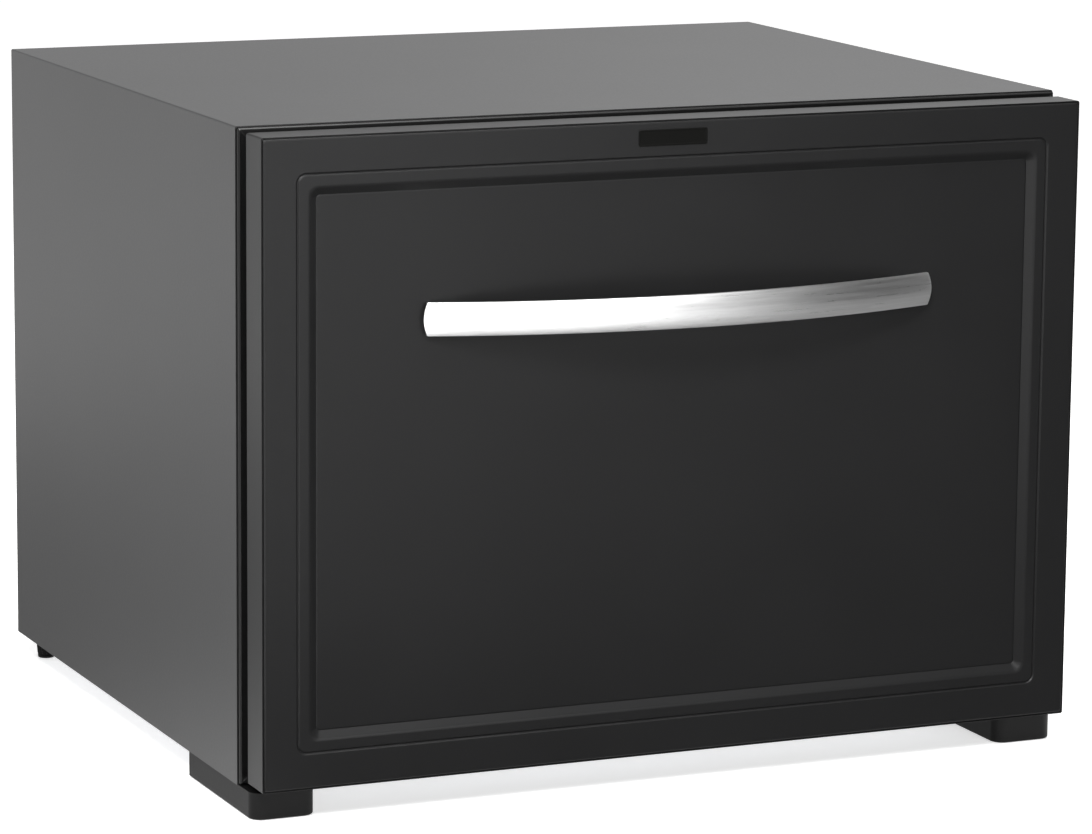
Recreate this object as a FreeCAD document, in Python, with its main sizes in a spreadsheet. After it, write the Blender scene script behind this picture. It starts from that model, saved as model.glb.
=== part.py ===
import FreeCAD, Part
import math
import os
import re
import Sketcher
from FreeCAD import Placement, Rotation, Vector

# A hotel minibar cabinet: one insulated drawer in a steel cabinet, in millimetres.
# X points to the right, Y to the back and Z up. The origin is the middle of the object's footprint, on the
# floor.

# ------------------------------------------------------------------ driving dimensions

SIZES = {
    # outside of the cabinet
    "cabinet_width": 560,
    "cabinet_height": 408,
    "cabinet_depth": 450,
    "shell_sheet": 0.8,
    "shell_corner": 1.1,
    "shell_flange": 14,
    "base_sheet": 1.2,
    "cover_sheet": 1,
    "cover_inset": 3,
    # insulated compartment
    "side_wall": 38,
    "top_wall": 38,
    "bottom_wall": 38,
    "rear_wall": 42,
    "cavity_depth": 325,
    "cavity_corner": 10,
    "liner_wall": 2,
    "frame_proud": 3.5,
    "frame_inset": 1.5,
    "frame_corner": 3,
    "bulkhead_sheet": 1,
    # feet
    "foot_height": 17,
    "foot_width": 42,
    "foot_length": 117,
    "foot_reach": 25,
    "foot_inset": 1,
    "foot_round": 8.5,
    "foot_sole": 1.2,
    "foot_screw_first": 50,
    "foot_screw_second": 94,
    "foot_screw_reach": 12,
    "rear_foot_top": 14.5,
    "rear_foot_bottom": 11.5,
    "rear_foot_in": 16.5,
    "rear_foot_forward": 13,
    "rear_stud": 6,
    "rear_stud_reach": 8,
    # drawer front
    "front_inset": 2.2,
    "front_lift": 3.5,
    "front_height": 402,
    "front_thickness": 26.4,
    "front_edge": 1.5,
    "front_corner": 2.5,
    "seal_gap": 13.3,
    "skin_face": 5.5,
    "skin_side": 3,
    "inner_panel": 2,
    "groove_in": 22.2,
    "groove_width": 1.8,
    "groove_depth": 0.8,
    "groove_corner": 6.5,
    "recess_in": 32,
    "recess_bevel": 4,
    "recess_depth": 3.2,
    "recess_corner": 6.2,
    "recess_floor_corner": 2.4,
    "recess_edge": 0.7,
    "gasket_in": 12,
    "gasket_width": 16,
    "soft_gap": 0.3,
    "badge_width": 46.5,
    "badge_height": 10.2,
    "badge_thickness": 0.6,
    "badge_left": 8.2,
    "badge_drop": 16,
    # handle
    "handle_span": 347,
    "handle_height": 20.8,
    "handle_rise": 29,
    "handle_standoff": 30,
    "handle_thickness": 3.4,
    "handle_rim": 1.4,
    "handle_end_bulge": 2.5,
    "handle_up": 286.8,
    "post_in": 4,
    "post_width": 22,
    "post_height": 14,
    "post_gap": 0.1,
    # telescopic slides
    "slide_inset": 8,
    "slide_rear_gap": 17,
    "slide_up": 130,
    "slide_height": 45.7,
    "slide_thickness": 12.7,
    "slide_sheet": 1.2,
    "slide_mouth_gap": 0.5,
    "slide_screw_end": 30,
    "slide_screw_reach": 11,
    "ball_diameter": 4,
    "ball_out": 6.6,
    "ball_gap": 0.05,
    "ball_spacing": 22,
    "cage_sheet": 0.5,
    "cage_gap": 0.25,
    "cage_rim": 0.9,
    "cage_end_gap": 4,
    # drawer box
    "bracket_sheet": 1.5,
    "bracket_up": 6,
    "bracket_lip": 15,
    "bracket_tab": 20,
    "bracket_screw_end": 16,
    "bracket_screw_reach": 7,
    "bin_gap": 3,
    "bin_forward": 4,
    "bin_rear_gap": 28,
    "bin_height": 190,
    "bin_wall": 2.5,
    "bin_corner": 8,
    "divider_sheet": 3,
    "divider_lift": 37.5,
    "divider_gap": 0.4,
    "hook_width": 24,
    "hook_drop": 14,
    # cooling unit
    "unit_up": 250,
    "block_side": 50,
    "module_side": 40,
    "module_thickness": 3.8,
    "cold_width": 160,
    "cold_height": 110,
    "cold_base": 5,
    "cold_fin": 18,
    "cold_fin_sheet": 1.5,
    "cold_fin_pitch": 6.5,
    "hood_gap": 6,
    "hood_wall": 2,
    "hot_side": 180,
    "hot_base": 6,
    "hot_fin": 28,
    "hot_fin_sheet": 1.2,
    "hot_fin_pitch": 4.8,
    "fan_side": 120,
    "fan_depth": 25,
    "fan_clearance": 1,
    "fan_hub": 40,
    "fan_shaft": 4,
    "fan_blade": 1.6,
    "fan_plate": 3,
    "fan_hole_in": 7.5,
    "clamp_out": 34,
    # electrics
    "supply_width": 110,
    "supply_height": 70,
    "supply_depth": 45,
    "supply_up": 100,
    "supply_corner": 3,
    "supply_in": 20,
    "inlet_width": 31,
    "inlet_height": 24.8,
    "inlet_flange": 2,
    "inlet_depth": 18,
    "inlet_wall": 2.4,
    "inlet_in": 80,
    "inlet_up": 60,
    "pin_thickness": 2,
    "pin_height": 4,
    "pin_spread": 7,
    "pin_set_back": 5,
    "lamp_width": 150,
    "lamp_depth": 46,
    "lamp_height": 10,
    "lamp_back": 22,
    "lens_width": 84,
    "lens_depth": 22,
    "lens_sheet": 2,
    "knob_diameter": 24,
    "knob_height": 9,
    "knob_out": 50,
    "knob_gap": 0.5,
    "knob_pointer": 1,
    "spindle": 6,
    "running_gap": 0.05,
    "reed_width": 26,
    "reed_height": 6,
    "magnet_depth": 6,
    # vents and fasteners
    "vent_width": 5,
    "vent_pitch": 13,
    "vent_length": 40,
    "exhaust_length": 130,
    "screw": 4,
    "screw_head": 7.5,
    "screw_head_height": 1.8,
    "screw_gap": 0.05,
    "cover_screw_reach": 6,
    "handle_screw_reach": 2.7,
    "fan_screw_reach": 12,
}

# Places that follow from the dimensions, as expressions in their names
PLACES = {
    "right": "cabinet_width / 2",
    "left": "-cabinet_width / 2",
    "base": "foot_height",
    "top": "foot_height + cabinet_height",
    "whole_depth": "handle_standoff + front_thickness + seal_gap + cabinet_depth + inlet_flange",
    "face": "handle_standoff - whole_depth / 2",
    "front_back": "face + front_thickness",
    "front": "front_back + seal_gap",
    "back": "front + cabinet_depth",
    "cavity_right": "right - side_wall",
    "cavity_floor": "base + bottom_wall",
    "cavity_top": "top - top_wall",
    "cavity_back": "front + cavity_depth",
    "foam_back": "cavity_back + rear_wall",
    "bay_front": "foam_back + bulkhead_sheet",
    "bay_back": "back - cover_sheet",
    "frame_face": "front - frame_proud",
    "front_right": "right - front_inset",
    "front_bottom": "base + front_lift",
    "front_top": "front_bottom + front_height",
    "front_middle": "front_bottom + front_height / 2",
    "pocket_back": "front_back - inner_panel",
    "recess_face": "face + recess_depth",
    "handle_middle": "front_bottom + handle_up",
    "handle_radius": "handle_span * handle_span / 8 / handle_rise + handle_rise / 2",
    "handle_centre": "face - handle_standoff + handle_radius",
    "slide_front": "front + slide_inset",
    "slide_length": "cavity_depth - slide_inset - slide_rear_gap",
    "slide_back": "slide_front + slide_length",
    "slide_middle": "cavity_floor + slide_up",
    "tray": "cavity_floor + bracket_up + bracket_sheet",
    "bracket_face": "cavity_right - slide_thickness",
    "bin_right": "bracket_face - bracket_sheet - bin_gap",
    "bin_front": "front + bin_forward",
    "hood_front": "cavity_back - cold_base - cold_fin - hood_gap - hood_wall",
    "bin_back": "hood_front - bin_rear_gap",
    "bin_rim": "tray + bin_height",
    "unit_middle": "base + unit_up",
    "hot_face": "bay_front + hot_base",
    "fin_back": "hot_face + hot_fin",
    "fan_back": "fin_back + fan_depth",
    "lamp_front": "front + lamp_back",
    "lamp_under": "cavity_top - lamp_height",
}

# How far a cutting tool runs past the face that it opens
PAST = "1"

WORD = re.compile(r"[a-z][a-z_0-9]*")
DOC = FreeCAD.newDocument("minibar")
SHEET = DOC.addObject("Spreadsheet::Sheet", "Sizes")
NODES = []


def fill_sheet():
    """Write each driving dimension's name and value, and give the value's cell the name as its alias."""
    for row, (name, number) in enumerate(SIZES.items(), start=1):
        SHEET.set(f"A{row}", name)
        SHEET.set(f"B{row}", str(number))
        SHEET.setAlias(f"B{row}", name)
    DOC.recompute()


def formula(words):
    """Turn an expression in the dimensions' names into one on the sheet's cells."""
    def cell(match):
        word = match[0]
        if word in PLACES:
            return "(" + formula(PLACES[word]) + ")"
        return "Sizes." + word if word in SIZES else word
    return WORD.sub(cell, words)


def value(words):
    """Work out an expression in the dimensions' names."""
    return float(SHEET.evalExpression(formula(words)))


def bind(piece, **formulas):
    """Bind a piece's properties to the sheet; a double underscore stands for a dot."""
    for name, words in formulas.items():
        piece.setExpression(name.replace("__", "."), formula(words))


def node(piece, name):
    """Keep a finished sub-part under its own name."""
    piece.Label = name
    NODES.append(piece)
    return piece


# ------------------------------------------------------------------ primitives and booleans

def middle(centre, size):
    """A span of a given size about a centre."""
    return f"({centre}) - ({size}) / 2", f"({centre}) + ({size}) / 2"


def mirrored(side, low, high):
    """A span on the right, or its mirror image on the left."""
    return (low, high) if side > 0 else (f"-({high})", f"-({low})")


def past_low(low, high):
    """A cutting span that starts before its low end."""
    return f"({low}) - {PAST}", high


def past_high(low, high):
    """A cutting span that ends after its high end."""
    return low, f"({high}) + {PAST}"


def past_both(low, high):
    """A cutting span that runs past both of its ends."""
    return f"({low}) - {PAST}", f"({high}) + {PAST}"


def box(name, x, y, z, body=None, kind="Part::Box"):
    """A box from its spans along X, Y and Z: each is a pair of expressions, low and high."""
    piece = body.newObject(kind, name) if body else DOC.addObject(kind, name)
    bind(piece, Length=f"({x[1]}) - ({x[0]})", Width=f"({y[1]}) - ({y[0]})", Height=f"({z[1]}) - ({z[0]})")
    bind(piece, Placement__Base__x=x[0], Placement__Base__y=y[0], Placement__Base__z=z[0])
    return piece


TURNS = {
    "X": Rotation(Vector(0, 1, 0), 90),
    "Y": Rotation(Vector(1, 0, 0), -90),
    "Z": Rotation(),
}


def along(axis, across, start):
    """The point at a start along an axis, with the other two places in X, Y, Z order."""
    places = list(across)
    places.insert("XYZ".index(axis), start)
    return places


def rod(name, axis, across, span, diameter, body=None, kind="Part::Cylinder"):
    """A round rod along an axis, from its low end to its high end."""
    piece = body.newObject(kind, name) if body else DOC.addObject(kind, name)
    piece.Placement = Placement(Vector(), TURNS[axis])
    x, y, z = along(axis, across, span[0])
    bind(piece, Radius=f"({diameter}) / 2", Height=f"({span[1]}) - ({span[0]})")
    bind(piece, Placement__Base__x=x, Placement__Base__y=y, Placement__Base__z=z)
    return piece


def cone(name, axis, across, span, low_diameter, high_diameter):
    """A round taper along an axis."""
    piece = DOC.addObject("Part::Cone", name)
    piece.Placement = Placement(Vector(), TURNS[axis])
    x, y, z = along(axis, across, span[0])
    bind(piece, Radius1=f"({low_diameter}) / 2", Radius2=f"({high_diameter}) / 2")
    bind(piece, Height=f"({span[1]}) - ({span[0]})")
    bind(piece, Placement__Base__x=x, Placement__Base__y=y, Placement__Base__z=z)
    return piece


def ball(name, x, y, z, diameter):
    """A ball."""
    piece = DOC.addObject("Part::Sphere", name)
    bind(piece, Radius=f"({diameter}) / 2")
    bind(piece, Placement__Base__x=x, Placement__Base__y=y, Placement__Base__z=z)
    return piece


def fuse(name, *pieces):
    """One solid from pieces that meet."""
    piece = DOC.addObject("Part::MultiFuse", name)
    piece.Shapes = list(pieces)
    piece.Refine = True
    return piece


def cut(name, stock, *tools):
    """A piece with its tools' shapes cut away."""
    piece = DOC.addObject("Part::Cut", name)
    piece.Base = stock
    piece.Tool = tools[0] if len(tools) == 1 else group(name + "_tools", *tools)
    piece.Refine = True
    return piece


def common(name, stock, tool):
    """What two pieces share."""
    piece = DOC.addObject("Part::Common", name)
    piece.Base = stock
    piece.Tool = tool
    return piece


def group(name, *pieces):
    """Separate solids kept together under one name."""
    piece = DOC.addObject("Part::Compound", name)
    piece.Links = list(pieces)
    return piece


# ------------------------------------------------------------------ bodies

def new_body(name):
    """An empty body."""
    return DOC.addObject("PartDesign::Body", name)


def add(body, name, x, y, z):
    """Add a box to a body."""
    return box(name, x, y, z, body, "PartDesign::AdditiveBox")


def take(body, name, x, y, z):
    """Cut a box out of a body."""
    return box(name, x, y, z, body, "PartDesign::SubtractiveBox")


def drill(body, name, axis, across, span, diameter):
    """Cut a round hole into a body."""
    return rod(name, axis, across, span, diameter, body, "PartDesign::SubtractiveCylinder")


def round_edges(body, name, radius, axis, **at):
    """Round a body's straight edges along an axis, where their middles have the given places."""
    DOC.recompute()
    stock = body.Tip
    places = {way: value(words) for way, words in at.items()}
    names = []
    for number, edge in enumerate(stock.Shape.Edges, start=1):
        centre = edge.CenterOfMass
        run = edge.tangentAt(edge.FirstParameter)
        if abs(getattr(run, axis.lower())) < 0.999 or not isinstance(edge.Curve, Part.Line):
            continue
        if all(abs(abs(getattr(centre, way)) - abs(place)) < 0.01 for way, place in places.items()):
            names.append(f"Edge{number}")
    fillet = body.newObject("PartDesign::Fillet", name)
    fillet.Base = (stock, names)
    bind(fillet, Radius=radius)
    return fillet


def repeat(body, name, original, axis, count, pitch):
    """Repeat a body's feature along an axis."""
    pattern = body.newObject("PartDesign::LinearPattern", name)
    pattern.Originals = [original]
    line = [item for item in body.Origin.OriginFeatures if item.Role == axis + "_Axis"][0]
    pattern.Direction = (line, [""])
    bind(pattern, Occurrences=count, Length=f"({pitch}) * (({count}) - 1)")
    body.Tip = pattern
    return pattern


def sketch_on(body, name, plane, offset):
    """A sketch on one of a body's own planes, moved along the plane's normal."""
    sketch = body.newObject("Sketcher::SketchObject", name)
    origin_plane = [item for item in body.Origin.OriginFeatures if item.Role == plane + "_Plane"][0]
    sketch.AttachmentSupport = [(origin_plane, "")]
    sketch.MapMode = "FlatFace"
    bind(sketch, AttachmentOffset__Base__z=offset)
    return sketch


def pin_point(sketch, name, curve, end, x, y):
    """Hold a curve's end at a place from the sketch's origin."""
    for way, words in (("X", x), ("Y", y)):
        label = f"{name}_{way}"
        sketch.addConstraint(Sketcher.Constraint("Distance" + way, -1, 1, curve, end, value(words)))
        sketch.renameConstraint(sketch.ConstraintCount - 1, label)
        sketch.setExpression("Constraints." + label, formula(words))


def draw_rounded(sketch, name, centre_y, width, height, radius):
    """Draw a rectangle with round corners, centred across and at a height."""
    half_width, half_height, round_off = value(width) / 2, value(height) / 2, value(radius)
    middle_y = value(centre_y)
    corners = [(1, 1, 0), (-1, 1, 90), (-1, -1, 180), (1, -1, 270)]
    arcs = []
    for number, (across, up, start) in enumerate(corners):
        place = Vector(across * (half_width - round_off), middle_y + up * (half_height - round_off), 0)
        circle = Part.Circle(place, Vector(0, 0, 1), round_off)
        arc = Part.ArcOfCircle(circle, math.radians(start), math.radians(start + 90))
        arcs.append(sketch.addGeometry(arc, False))
        x = f"{across} * (({width}) / 2 - ({radius}))"
        y = f"({centre_y}) + {up} * (({height}) / 2 - ({radius}))"
        pin_point(sketch, f"{name}_{number}", arcs[-1], 3, x, y)
        sketch.addConstraint(Sketcher.Constraint("Radius", arcs[-1], round_off))
        sketch.renameConstraint(sketch.ConstraintCount - 1, f"{name}_{number}_R")
        sketch.setExpression(f"Constraints.{name}_{number}_R", formula(radius))
    for number, arc in enumerate(arcs):
        after = arcs[(number + 1) % 4]
        start = sketch.getPoint(arc, 2)
        end = sketch.getPoint(after, 1)
        line = sketch.addGeometry(Part.LineSegment(start, end), False)
        sketch.addConstraint(Sketcher.Constraint("Tangent", line, 1, arc, 2))
        sketch.addConstraint(Sketcher.Constraint("Tangent", line, 2, after, 1))


# ------------------------------------------------------------------ screws

def screw(name, axis, across, seat, tip, head=1):
    """A pan head screw along an axis: its head stands on the seat, and its shank runs to the tip.

    head is 1 when the head points to the axis's high end, and -1 when it points to the low end.
    """
    shank_span = (tip, seat) if head > 0 else (seat, tip)
    head_high = f"({seat}) + {head} * screw_head_height"
    head_span = (seat, head_high) if head > 0 else (head_high, seat)
    shank = rod(name + "_shank", axis, across, shank_span, "screw")
    cap = rod(name + "_cap", axis, across, head_span, "screw_head")
    return fuse(name, shank, cap)


def screw_hole(name, axis, across, span):
    """The clearance hole that a screw's shank passes through."""
    return rod(name, axis, across, span, "screw + 2 * screw_gap")


def drill_screws(body, name, axis, spots, span):
    """Clearance holes in a body for a set of screws."""
    for number, across in enumerate(spots):
        drill(body, f"{name}_{number}", axis, across, span, "screw + 2 * screw_gap")


# ------------------------------------------------------------------ cabinet

def cover_spots():
    """Where the back cover's screws stand, as X and Z."""
    edge = "shell_flange / 2 + cover_inset / 2"
    rows = (f"base + {edge} + shell_flange", "base + cabinet_height / 2", f"top - ({edge})")
    spots = [(f"{side} * (right - ({edge}))", row) for side in (-1, 1) for row in rows]
    return spots + [(f"{side} * cabinet_width / 6", rows[2]) for side in (-1, 1)]


def cabinet_shell():
    """The folded steel wrapper: top and sides in one sheet, with flanges at the front and back."""
    body = new_body("cabinet_shell")
    add(body, "shell_block", ("left", "right"), ("front", "bay_back"), ("base", "top"))
    take(body, "shell_hollow", ("left + shell_sheet", "right - shell_sheet"),
         ("front + shell_sheet", "bay_back - shell_sheet"), past_low("base", "top - shell_sheet"))
    round_edges(body, "shell_inner_round", "max(shell_corner - shell_sheet; 0.2)", "Y",
                x="right - shell_sheet", z="top - shell_sheet")
    round_edges(body, "shell_round", "shell_corner", "Y", x="right", z="top")
    window = ("left + shell_flange", "right - shell_flange")
    take(body, "shell_mouth", window, past_both("front", "front + shell_sheet"),
         past_low("base", "top - shell_flange"))
    take(body, "shell_rear_mouth", window, past_both("bay_back - shell_sheet", "bay_back"),
         past_low("base", "top - shell_flange"))
    drill_screws(body, "shell_cover_hole", "Y", cover_spots(),
                 past_both("bay_back - shell_sheet", "bay_back"))
    node(body, "cabinet_shell")


def foot_spots(side):
    """Where a front foot's two screws stand, as X and Y."""
    across = f"{side} * (right - foot_inset - foot_width / 2)"
    return [(across, f"front - foot_reach + {place}") for place in ("foot_screw_first", "foot_screw_second")]


def rear_foot_spots():
    """Where the rear feet stand, as X and Y."""
    return [(f"{side} * (right - rear_foot_in)", "back - rear_foot_forward") for side in (-1, 1)]


def base_plate():
    """The steel floor of the cabinet, with the air slots of the rear bay."""
    body = new_body("base_plate")
    plate = ("base", "base + base_sheet")
    through = past_both("base", "base + base_sheet")
    add(body, "base_sheet_blank", ("left + shell_sheet", "right - shell_sheet"),
        ("front + shell_sheet", "bay_back - shell_sheet"), plate)
    count = "floor((cabinet_width - 4 * shell_flange - 2 * rear_foot_in) / vent_pitch)"
    first = f"-vent_pitch * ({count} - 1) / 2"
    slot = take(body, "base_slot", middle(first, "vent_width"),
                middle("(bay_front + bay_back) / 2", "vent_length"), through)
    repeat(body, "base_slots", slot, "X", count, "vent_pitch")
    for side in (-1, 1):
        drill_screws(body, f"base_foot_hole_{side + 1}", "Z", foot_spots(side), through)
    for number, spot in enumerate(rear_foot_spots()):
        drill(body, f"base_stud_hole_{number}", "Z", spot, through, "rear_stud + 2 * screw_gap")
    node(body, "base_plate")


def back_cover():
    """The removable steel back, with exhaust slots behind the fan and a cut-out for the power inlet."""
    body = new_body("back_cover")
    through = past_both("bay_back", "back")
    add(body, "cover_blank", ("left + cover_inset", "right - cover_inset"), ("bay_back", "back"),
        ("base + cover_inset", "top - cover_inset"))
    count = "floor(hot_side / vent_pitch)"
    slot = take(body, "cover_slot", middle(f"-vent_pitch * ({count} - 1) / 2", "vent_width"), through,
                middle("unit_middle", "exhaust_length"))
    repeat(body, "cover_slots", slot, "X", count, "vent_pitch")
    count = "floor((cabinet_width - 2 * inlet_in - 6 * shell_flange) / vent_pitch)"
    slot = take(body, "cover_low_slot", middle(f"-vent_pitch * ({count} - 1) / 2", "vent_width"), through,
                middle("base + vent_length", "vent_length"))
    repeat(body, "cover_low_slots", slot, "X", count, "vent_pitch")
    take(body, "cover_inlet", middle("left + inlet_in", "inlet_width - 2 * inlet_flange"), through,
         middle("base + inlet_up", "inlet_height - 2 * inlet_flange"))
    drill_screws(body, "cover_hole", "Y", cover_spots(), through)
    node(body, "back_cover")
    screws = [screw(f"cover_screw_{number}", "Y", spot, "back", "bay_back - cover_screw_reach")
              for number, spot in enumerate(cover_spots())]
    node(group("cover_screws", *screws), "cover_screws")


def block_hole(depth):
    """The passage of the cold block through the rear wall, as spans."""
    side = "block_side + 2 * screw_gap"
    return middle("0", side), depth, middle("unit_middle", side)


def clamp_spots():
    """Where the clamp screws of the cooling unit stand, as X and Z."""
    return [(f"{side} * clamp_out", "unit_middle") for side in (-1, 1)]


def insulation_foam():
    """The foam between the shell and the liner."""
    body = new_body("insulation_foam")
    add(body, "foam_block", ("left + shell_sheet", "right - shell_sheet"),
        ("front + liner_wall", "foam_back"), ("base + base_sheet", "top - shell_sheet"))
    round_edges(body, "foam_round", "max(shell_corner - shell_sheet; 0.2)", "Y",
                x="right - shell_sheet", z="top - shell_sheet")
    take(body, "foam_hollow", ("-cavity_right - liner_wall", "cavity_right + liner_wall"),
         past_low("front", "cavity_back + liner_wall"),
         ("cavity_floor - liner_wall", "cavity_top + liner_wall"))
    round_edges(body, "foam_hollow_low", "cavity_corner + liner_wall", "Y",
                x="cavity_right + liner_wall", z="cavity_floor - liner_wall")
    round_edges(body, "foam_hollow_high", "cavity_corner + liner_wall", "Y",
                x="cavity_right + liner_wall", z="cavity_top + liner_wall")
    through = past_both("cavity_back", "foam_back")
    take(body, "foam_passage", *block_hole(through))
    drill_screws(body, "foam_clamp_hole", "Y", clamp_spots(), through)
    for side in (-1, 1):
        span = mirrored(side, "cavity_right", "cavity_right + slide_screw_reach + screw_gap")
        drill_screws(body, f"foam_slide_hole_{side + 1}", "X", slide_spots("outer"), span)
        drill_screws(body, f"foam_foot_hole_{side + 1}", "Z", foot_spots(side),
                     ("base", "base + foot_screw_reach + screw_gap"))
    node(body, "insulation_foam")


def inner_liner():
    """The moulded tub that the drawer runs in, with a lip around its mouth."""
    body = new_body("inner_liner")
    outer = "cavity_right + liner_wall"
    add(body, "liner_block", (f"-({outer})", outer), ("front", "cavity_back + liner_wall"),
        ("cavity_floor - liner_wall", "cavity_top + liner_wall"))
    edge = "shell_flange + soft_gap"
    add(body, "liner_lip", (f"left + {edge}", f"right - ({edge})"), ("front", "front + liner_wall"),
        ("base + base_sheet", f"top - ({edge})"))
    take(body, "liner_hollow", ("-cavity_right", "cavity_right"), past_low("front", "cavity_back"),
         ("cavity_floor", "cavity_top"))
    for word, inner_z, outer_z in (("low", "cavity_floor", "cavity_floor - liner_wall"),
                                   ("high", "cavity_top", "cavity_top + liner_wall")):
        round_edges(body, f"liner_inner_{word}", "cavity_corner", "Y", x="cavity_right", z=inner_z)
        round_edges(body, f"liner_outer_{word}", "cavity_corner + liner_wall", "Y", x=outer, z=outer_z)
    through = past_both("cavity_back", "cavity_back + liner_wall")
    take(body, "liner_passage", *block_hole(through))
    drill_screws(body, "liner_clamp_hole", "Y", clamp_spots(), through)
    for side in (-1, 1):
        span = mirrored(side, *past_both("cavity_right", "cavity_right + liner_wall"))
        drill_screws(body, f"liner_slide_hole_{side + 1}", "X", slide_spots("outer"), span)
    node(body, "inner_liner")


def front_frame():
    """The black frame around the mouth, which the gasket closes on."""
    body = new_body("front_frame")
    outer = ("left + frame_inset", "right - frame_inset")
    add(body, "frame_blank", outer, ("frame_face", "front"), ("base + frame_inset", "top - frame_inset"))
    round_edges(body, "frame_round", "frame_corner", "Y", x="right - frame_inset")
    take(body, "frame_mouth", ("-cavity_right", "cavity_right"), past_both("frame_face", "front"),
         ("cavity_floor", "cavity_top"))
    round_edges(body, "frame_mouth_round", "cavity_corner", "Y", x="cavity_right")
    node(body, "front_frame")


def rear_bulkhead():
    """The steel sheet behind the foam, which carries the cooling unit."""
    body = new_body("rear_bulkhead")
    through = past_both("foam_back", "bay_front")
    add(body, "bulkhead_blank", ("left + shell_sheet", "right - shell_sheet"), ("foam_back", "bay_front"),
        ("base + base_sheet", "top - shell_sheet - shell_corner"))
    take(body, "bulkhead_passage", *block_hole(through))
    drill_screws(body, "bulkhead_clamp_hole", "Y", clamp_spots(), through)
    node(body, "rear_bulkhead")


# ------------------------------------------------------------------ feet

def front_foot(side, name):
    """A long block foot under a front corner, which reaches forward below the drawer front."""
    body = new_body(name)
    outer = "right - foot_inset"
    x = mirrored(side, f"{outer} - foot_width", outer)
    add(body, name + "_block", x, ("front - foot_reach", "front - foot_reach + foot_length"), ("0", "base"))
    round_edges(body, name + "_front_round", "foot_round", "Z", y="front - foot_reach")
    round_edges(body, name + "_sole_round", "foot_sole", "X", z="0")
    drill_screws(body, name + "_hole", "Z", foot_spots(side), past_both("0", "base"))
    for number, spot in enumerate(foot_spots(side)):
        drill(body, f"{name}_counterbore_{number}", "Z", spot, past_low("0", "foot_height / 2"),
              "screw_head + 4 * screw_gap")
    node(body, name)


def feet():
    """Both front feet, both rear feet and the front feet's screws."""
    front_foot(-1, "front_foot_left")
    front_foot(1, "front_foot_right")
    rear = []
    for number, spot in enumerate(rear_foot_spots()):
        taper = cone(f"rear_foot_taper_{number}", "Z", spot, ("0", "base"), "rear_foot_bottom",
                     "rear_foot_top")
        stud = rod(f"rear_foot_stud_{number}", "Z", spot, ("base", "base + rear_stud_reach"), "rear_stud")
        rear.append(fuse(f"rear_foot_{number}", taper, stud))
    node(group("rear_feet", *rear), "rear_feet")
    screws = [screw(f"foot_screw_{side + 1}_{number}", "Z", spot, "foot_height / 2",
                    "base + foot_screw_reach", head=-1)
              for side in (-1, 1) for number, spot in enumerate(foot_spots(side))]
    node(group("foot_screws", *screws), "foot_screws")


# ------------------------------------------------------------------ telescopic slides

# Distances from the liner's wall, and from the slide's middle height, of what the slides hold
PLACES.update({
    "outer_race": "slide_height / 2 - slide_sheet",
    "outer_ball": "outer_race - ball_gap - ball_diameter / 2",
    "middle_top": "outer_race - 2 * ball_gap - ball_diameter",
    "middle_race": "middle_top - slide_sheet",
    "inner_ball": "middle_race - ball_gap - ball_diameter / 2",
    "inner_top": "middle_race - 2 * ball_gap - ball_diameter",
    "outer_mouth": "slide_thickness - slide_sheet - slide_mouth_gap",
    "outer_cage_web": "slide_sheet + cage_gap",
    "middle_web": "outer_cage_web + cage_sheet + cage_gap",
    "inner_cage_web": "middle_web + slide_sheet + cage_gap",
    "inner_edge": "inner_cage_web + cage_sheet + cage_gap",
    "cage_edge": "ball_out + ball_diameter / 2 + cage_rim",
})


def slide_spots(member):
    """Where a slide's screws stand, as Y and Z."""
    middle_y = "slide_front + slide_length / 2"
    if member == "outer":
        places = ("slide_front + slide_screw_end", middle_y, "slide_back - slide_screw_end")
    else:
        places = ("slide_front + 2 * slide_screw_end", "slide_back - 2 * slide_screw_end")
    return [(place, "slide_middle") for place in places]


def channel(name, side, near, far, half, wall, opening, length):
    """A channel along Y beside the liner's wall: a web, two flanges and, where asked, lips at its mouth.

    near and far are distances from the wall; opening is "in" when the mouth faces the drawer.
    """
    def slab(part, low, high, up):
        x = mirrored(side, f"cavity_right - ({high})", f"cavity_right - ({low})")
        return box(f"{name}_{part}", x, length, up)
    whole = slab("stock", near, far, (f"slide_middle - ({half})", f"slide_middle + {half}"))
    if opening == "in":
        web_low, web_high = past_high(f"{near} + {wall}", far)
    else:
        web_low, web_high = past_low(near, f"{far} - {wall}")
    hollow = slab("hollow", web_low, web_high,
                  (f"slide_middle - ({half} - {wall})", f"slide_middle + {half} - {wall}"))
    return cut(name + "_channel", whole, hollow)


def sunk_head(name, side, spot):
    """A countersunk screw head, flush with the inside of an outer member's web."""
    ends = ("screw_head", "screw") if side > 0 else ("screw", "screw_head")
    return cone(name, "X", spot, mirrored(side, "cavity_right - slide_sheet", "cavity_right"), *ends)


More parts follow.
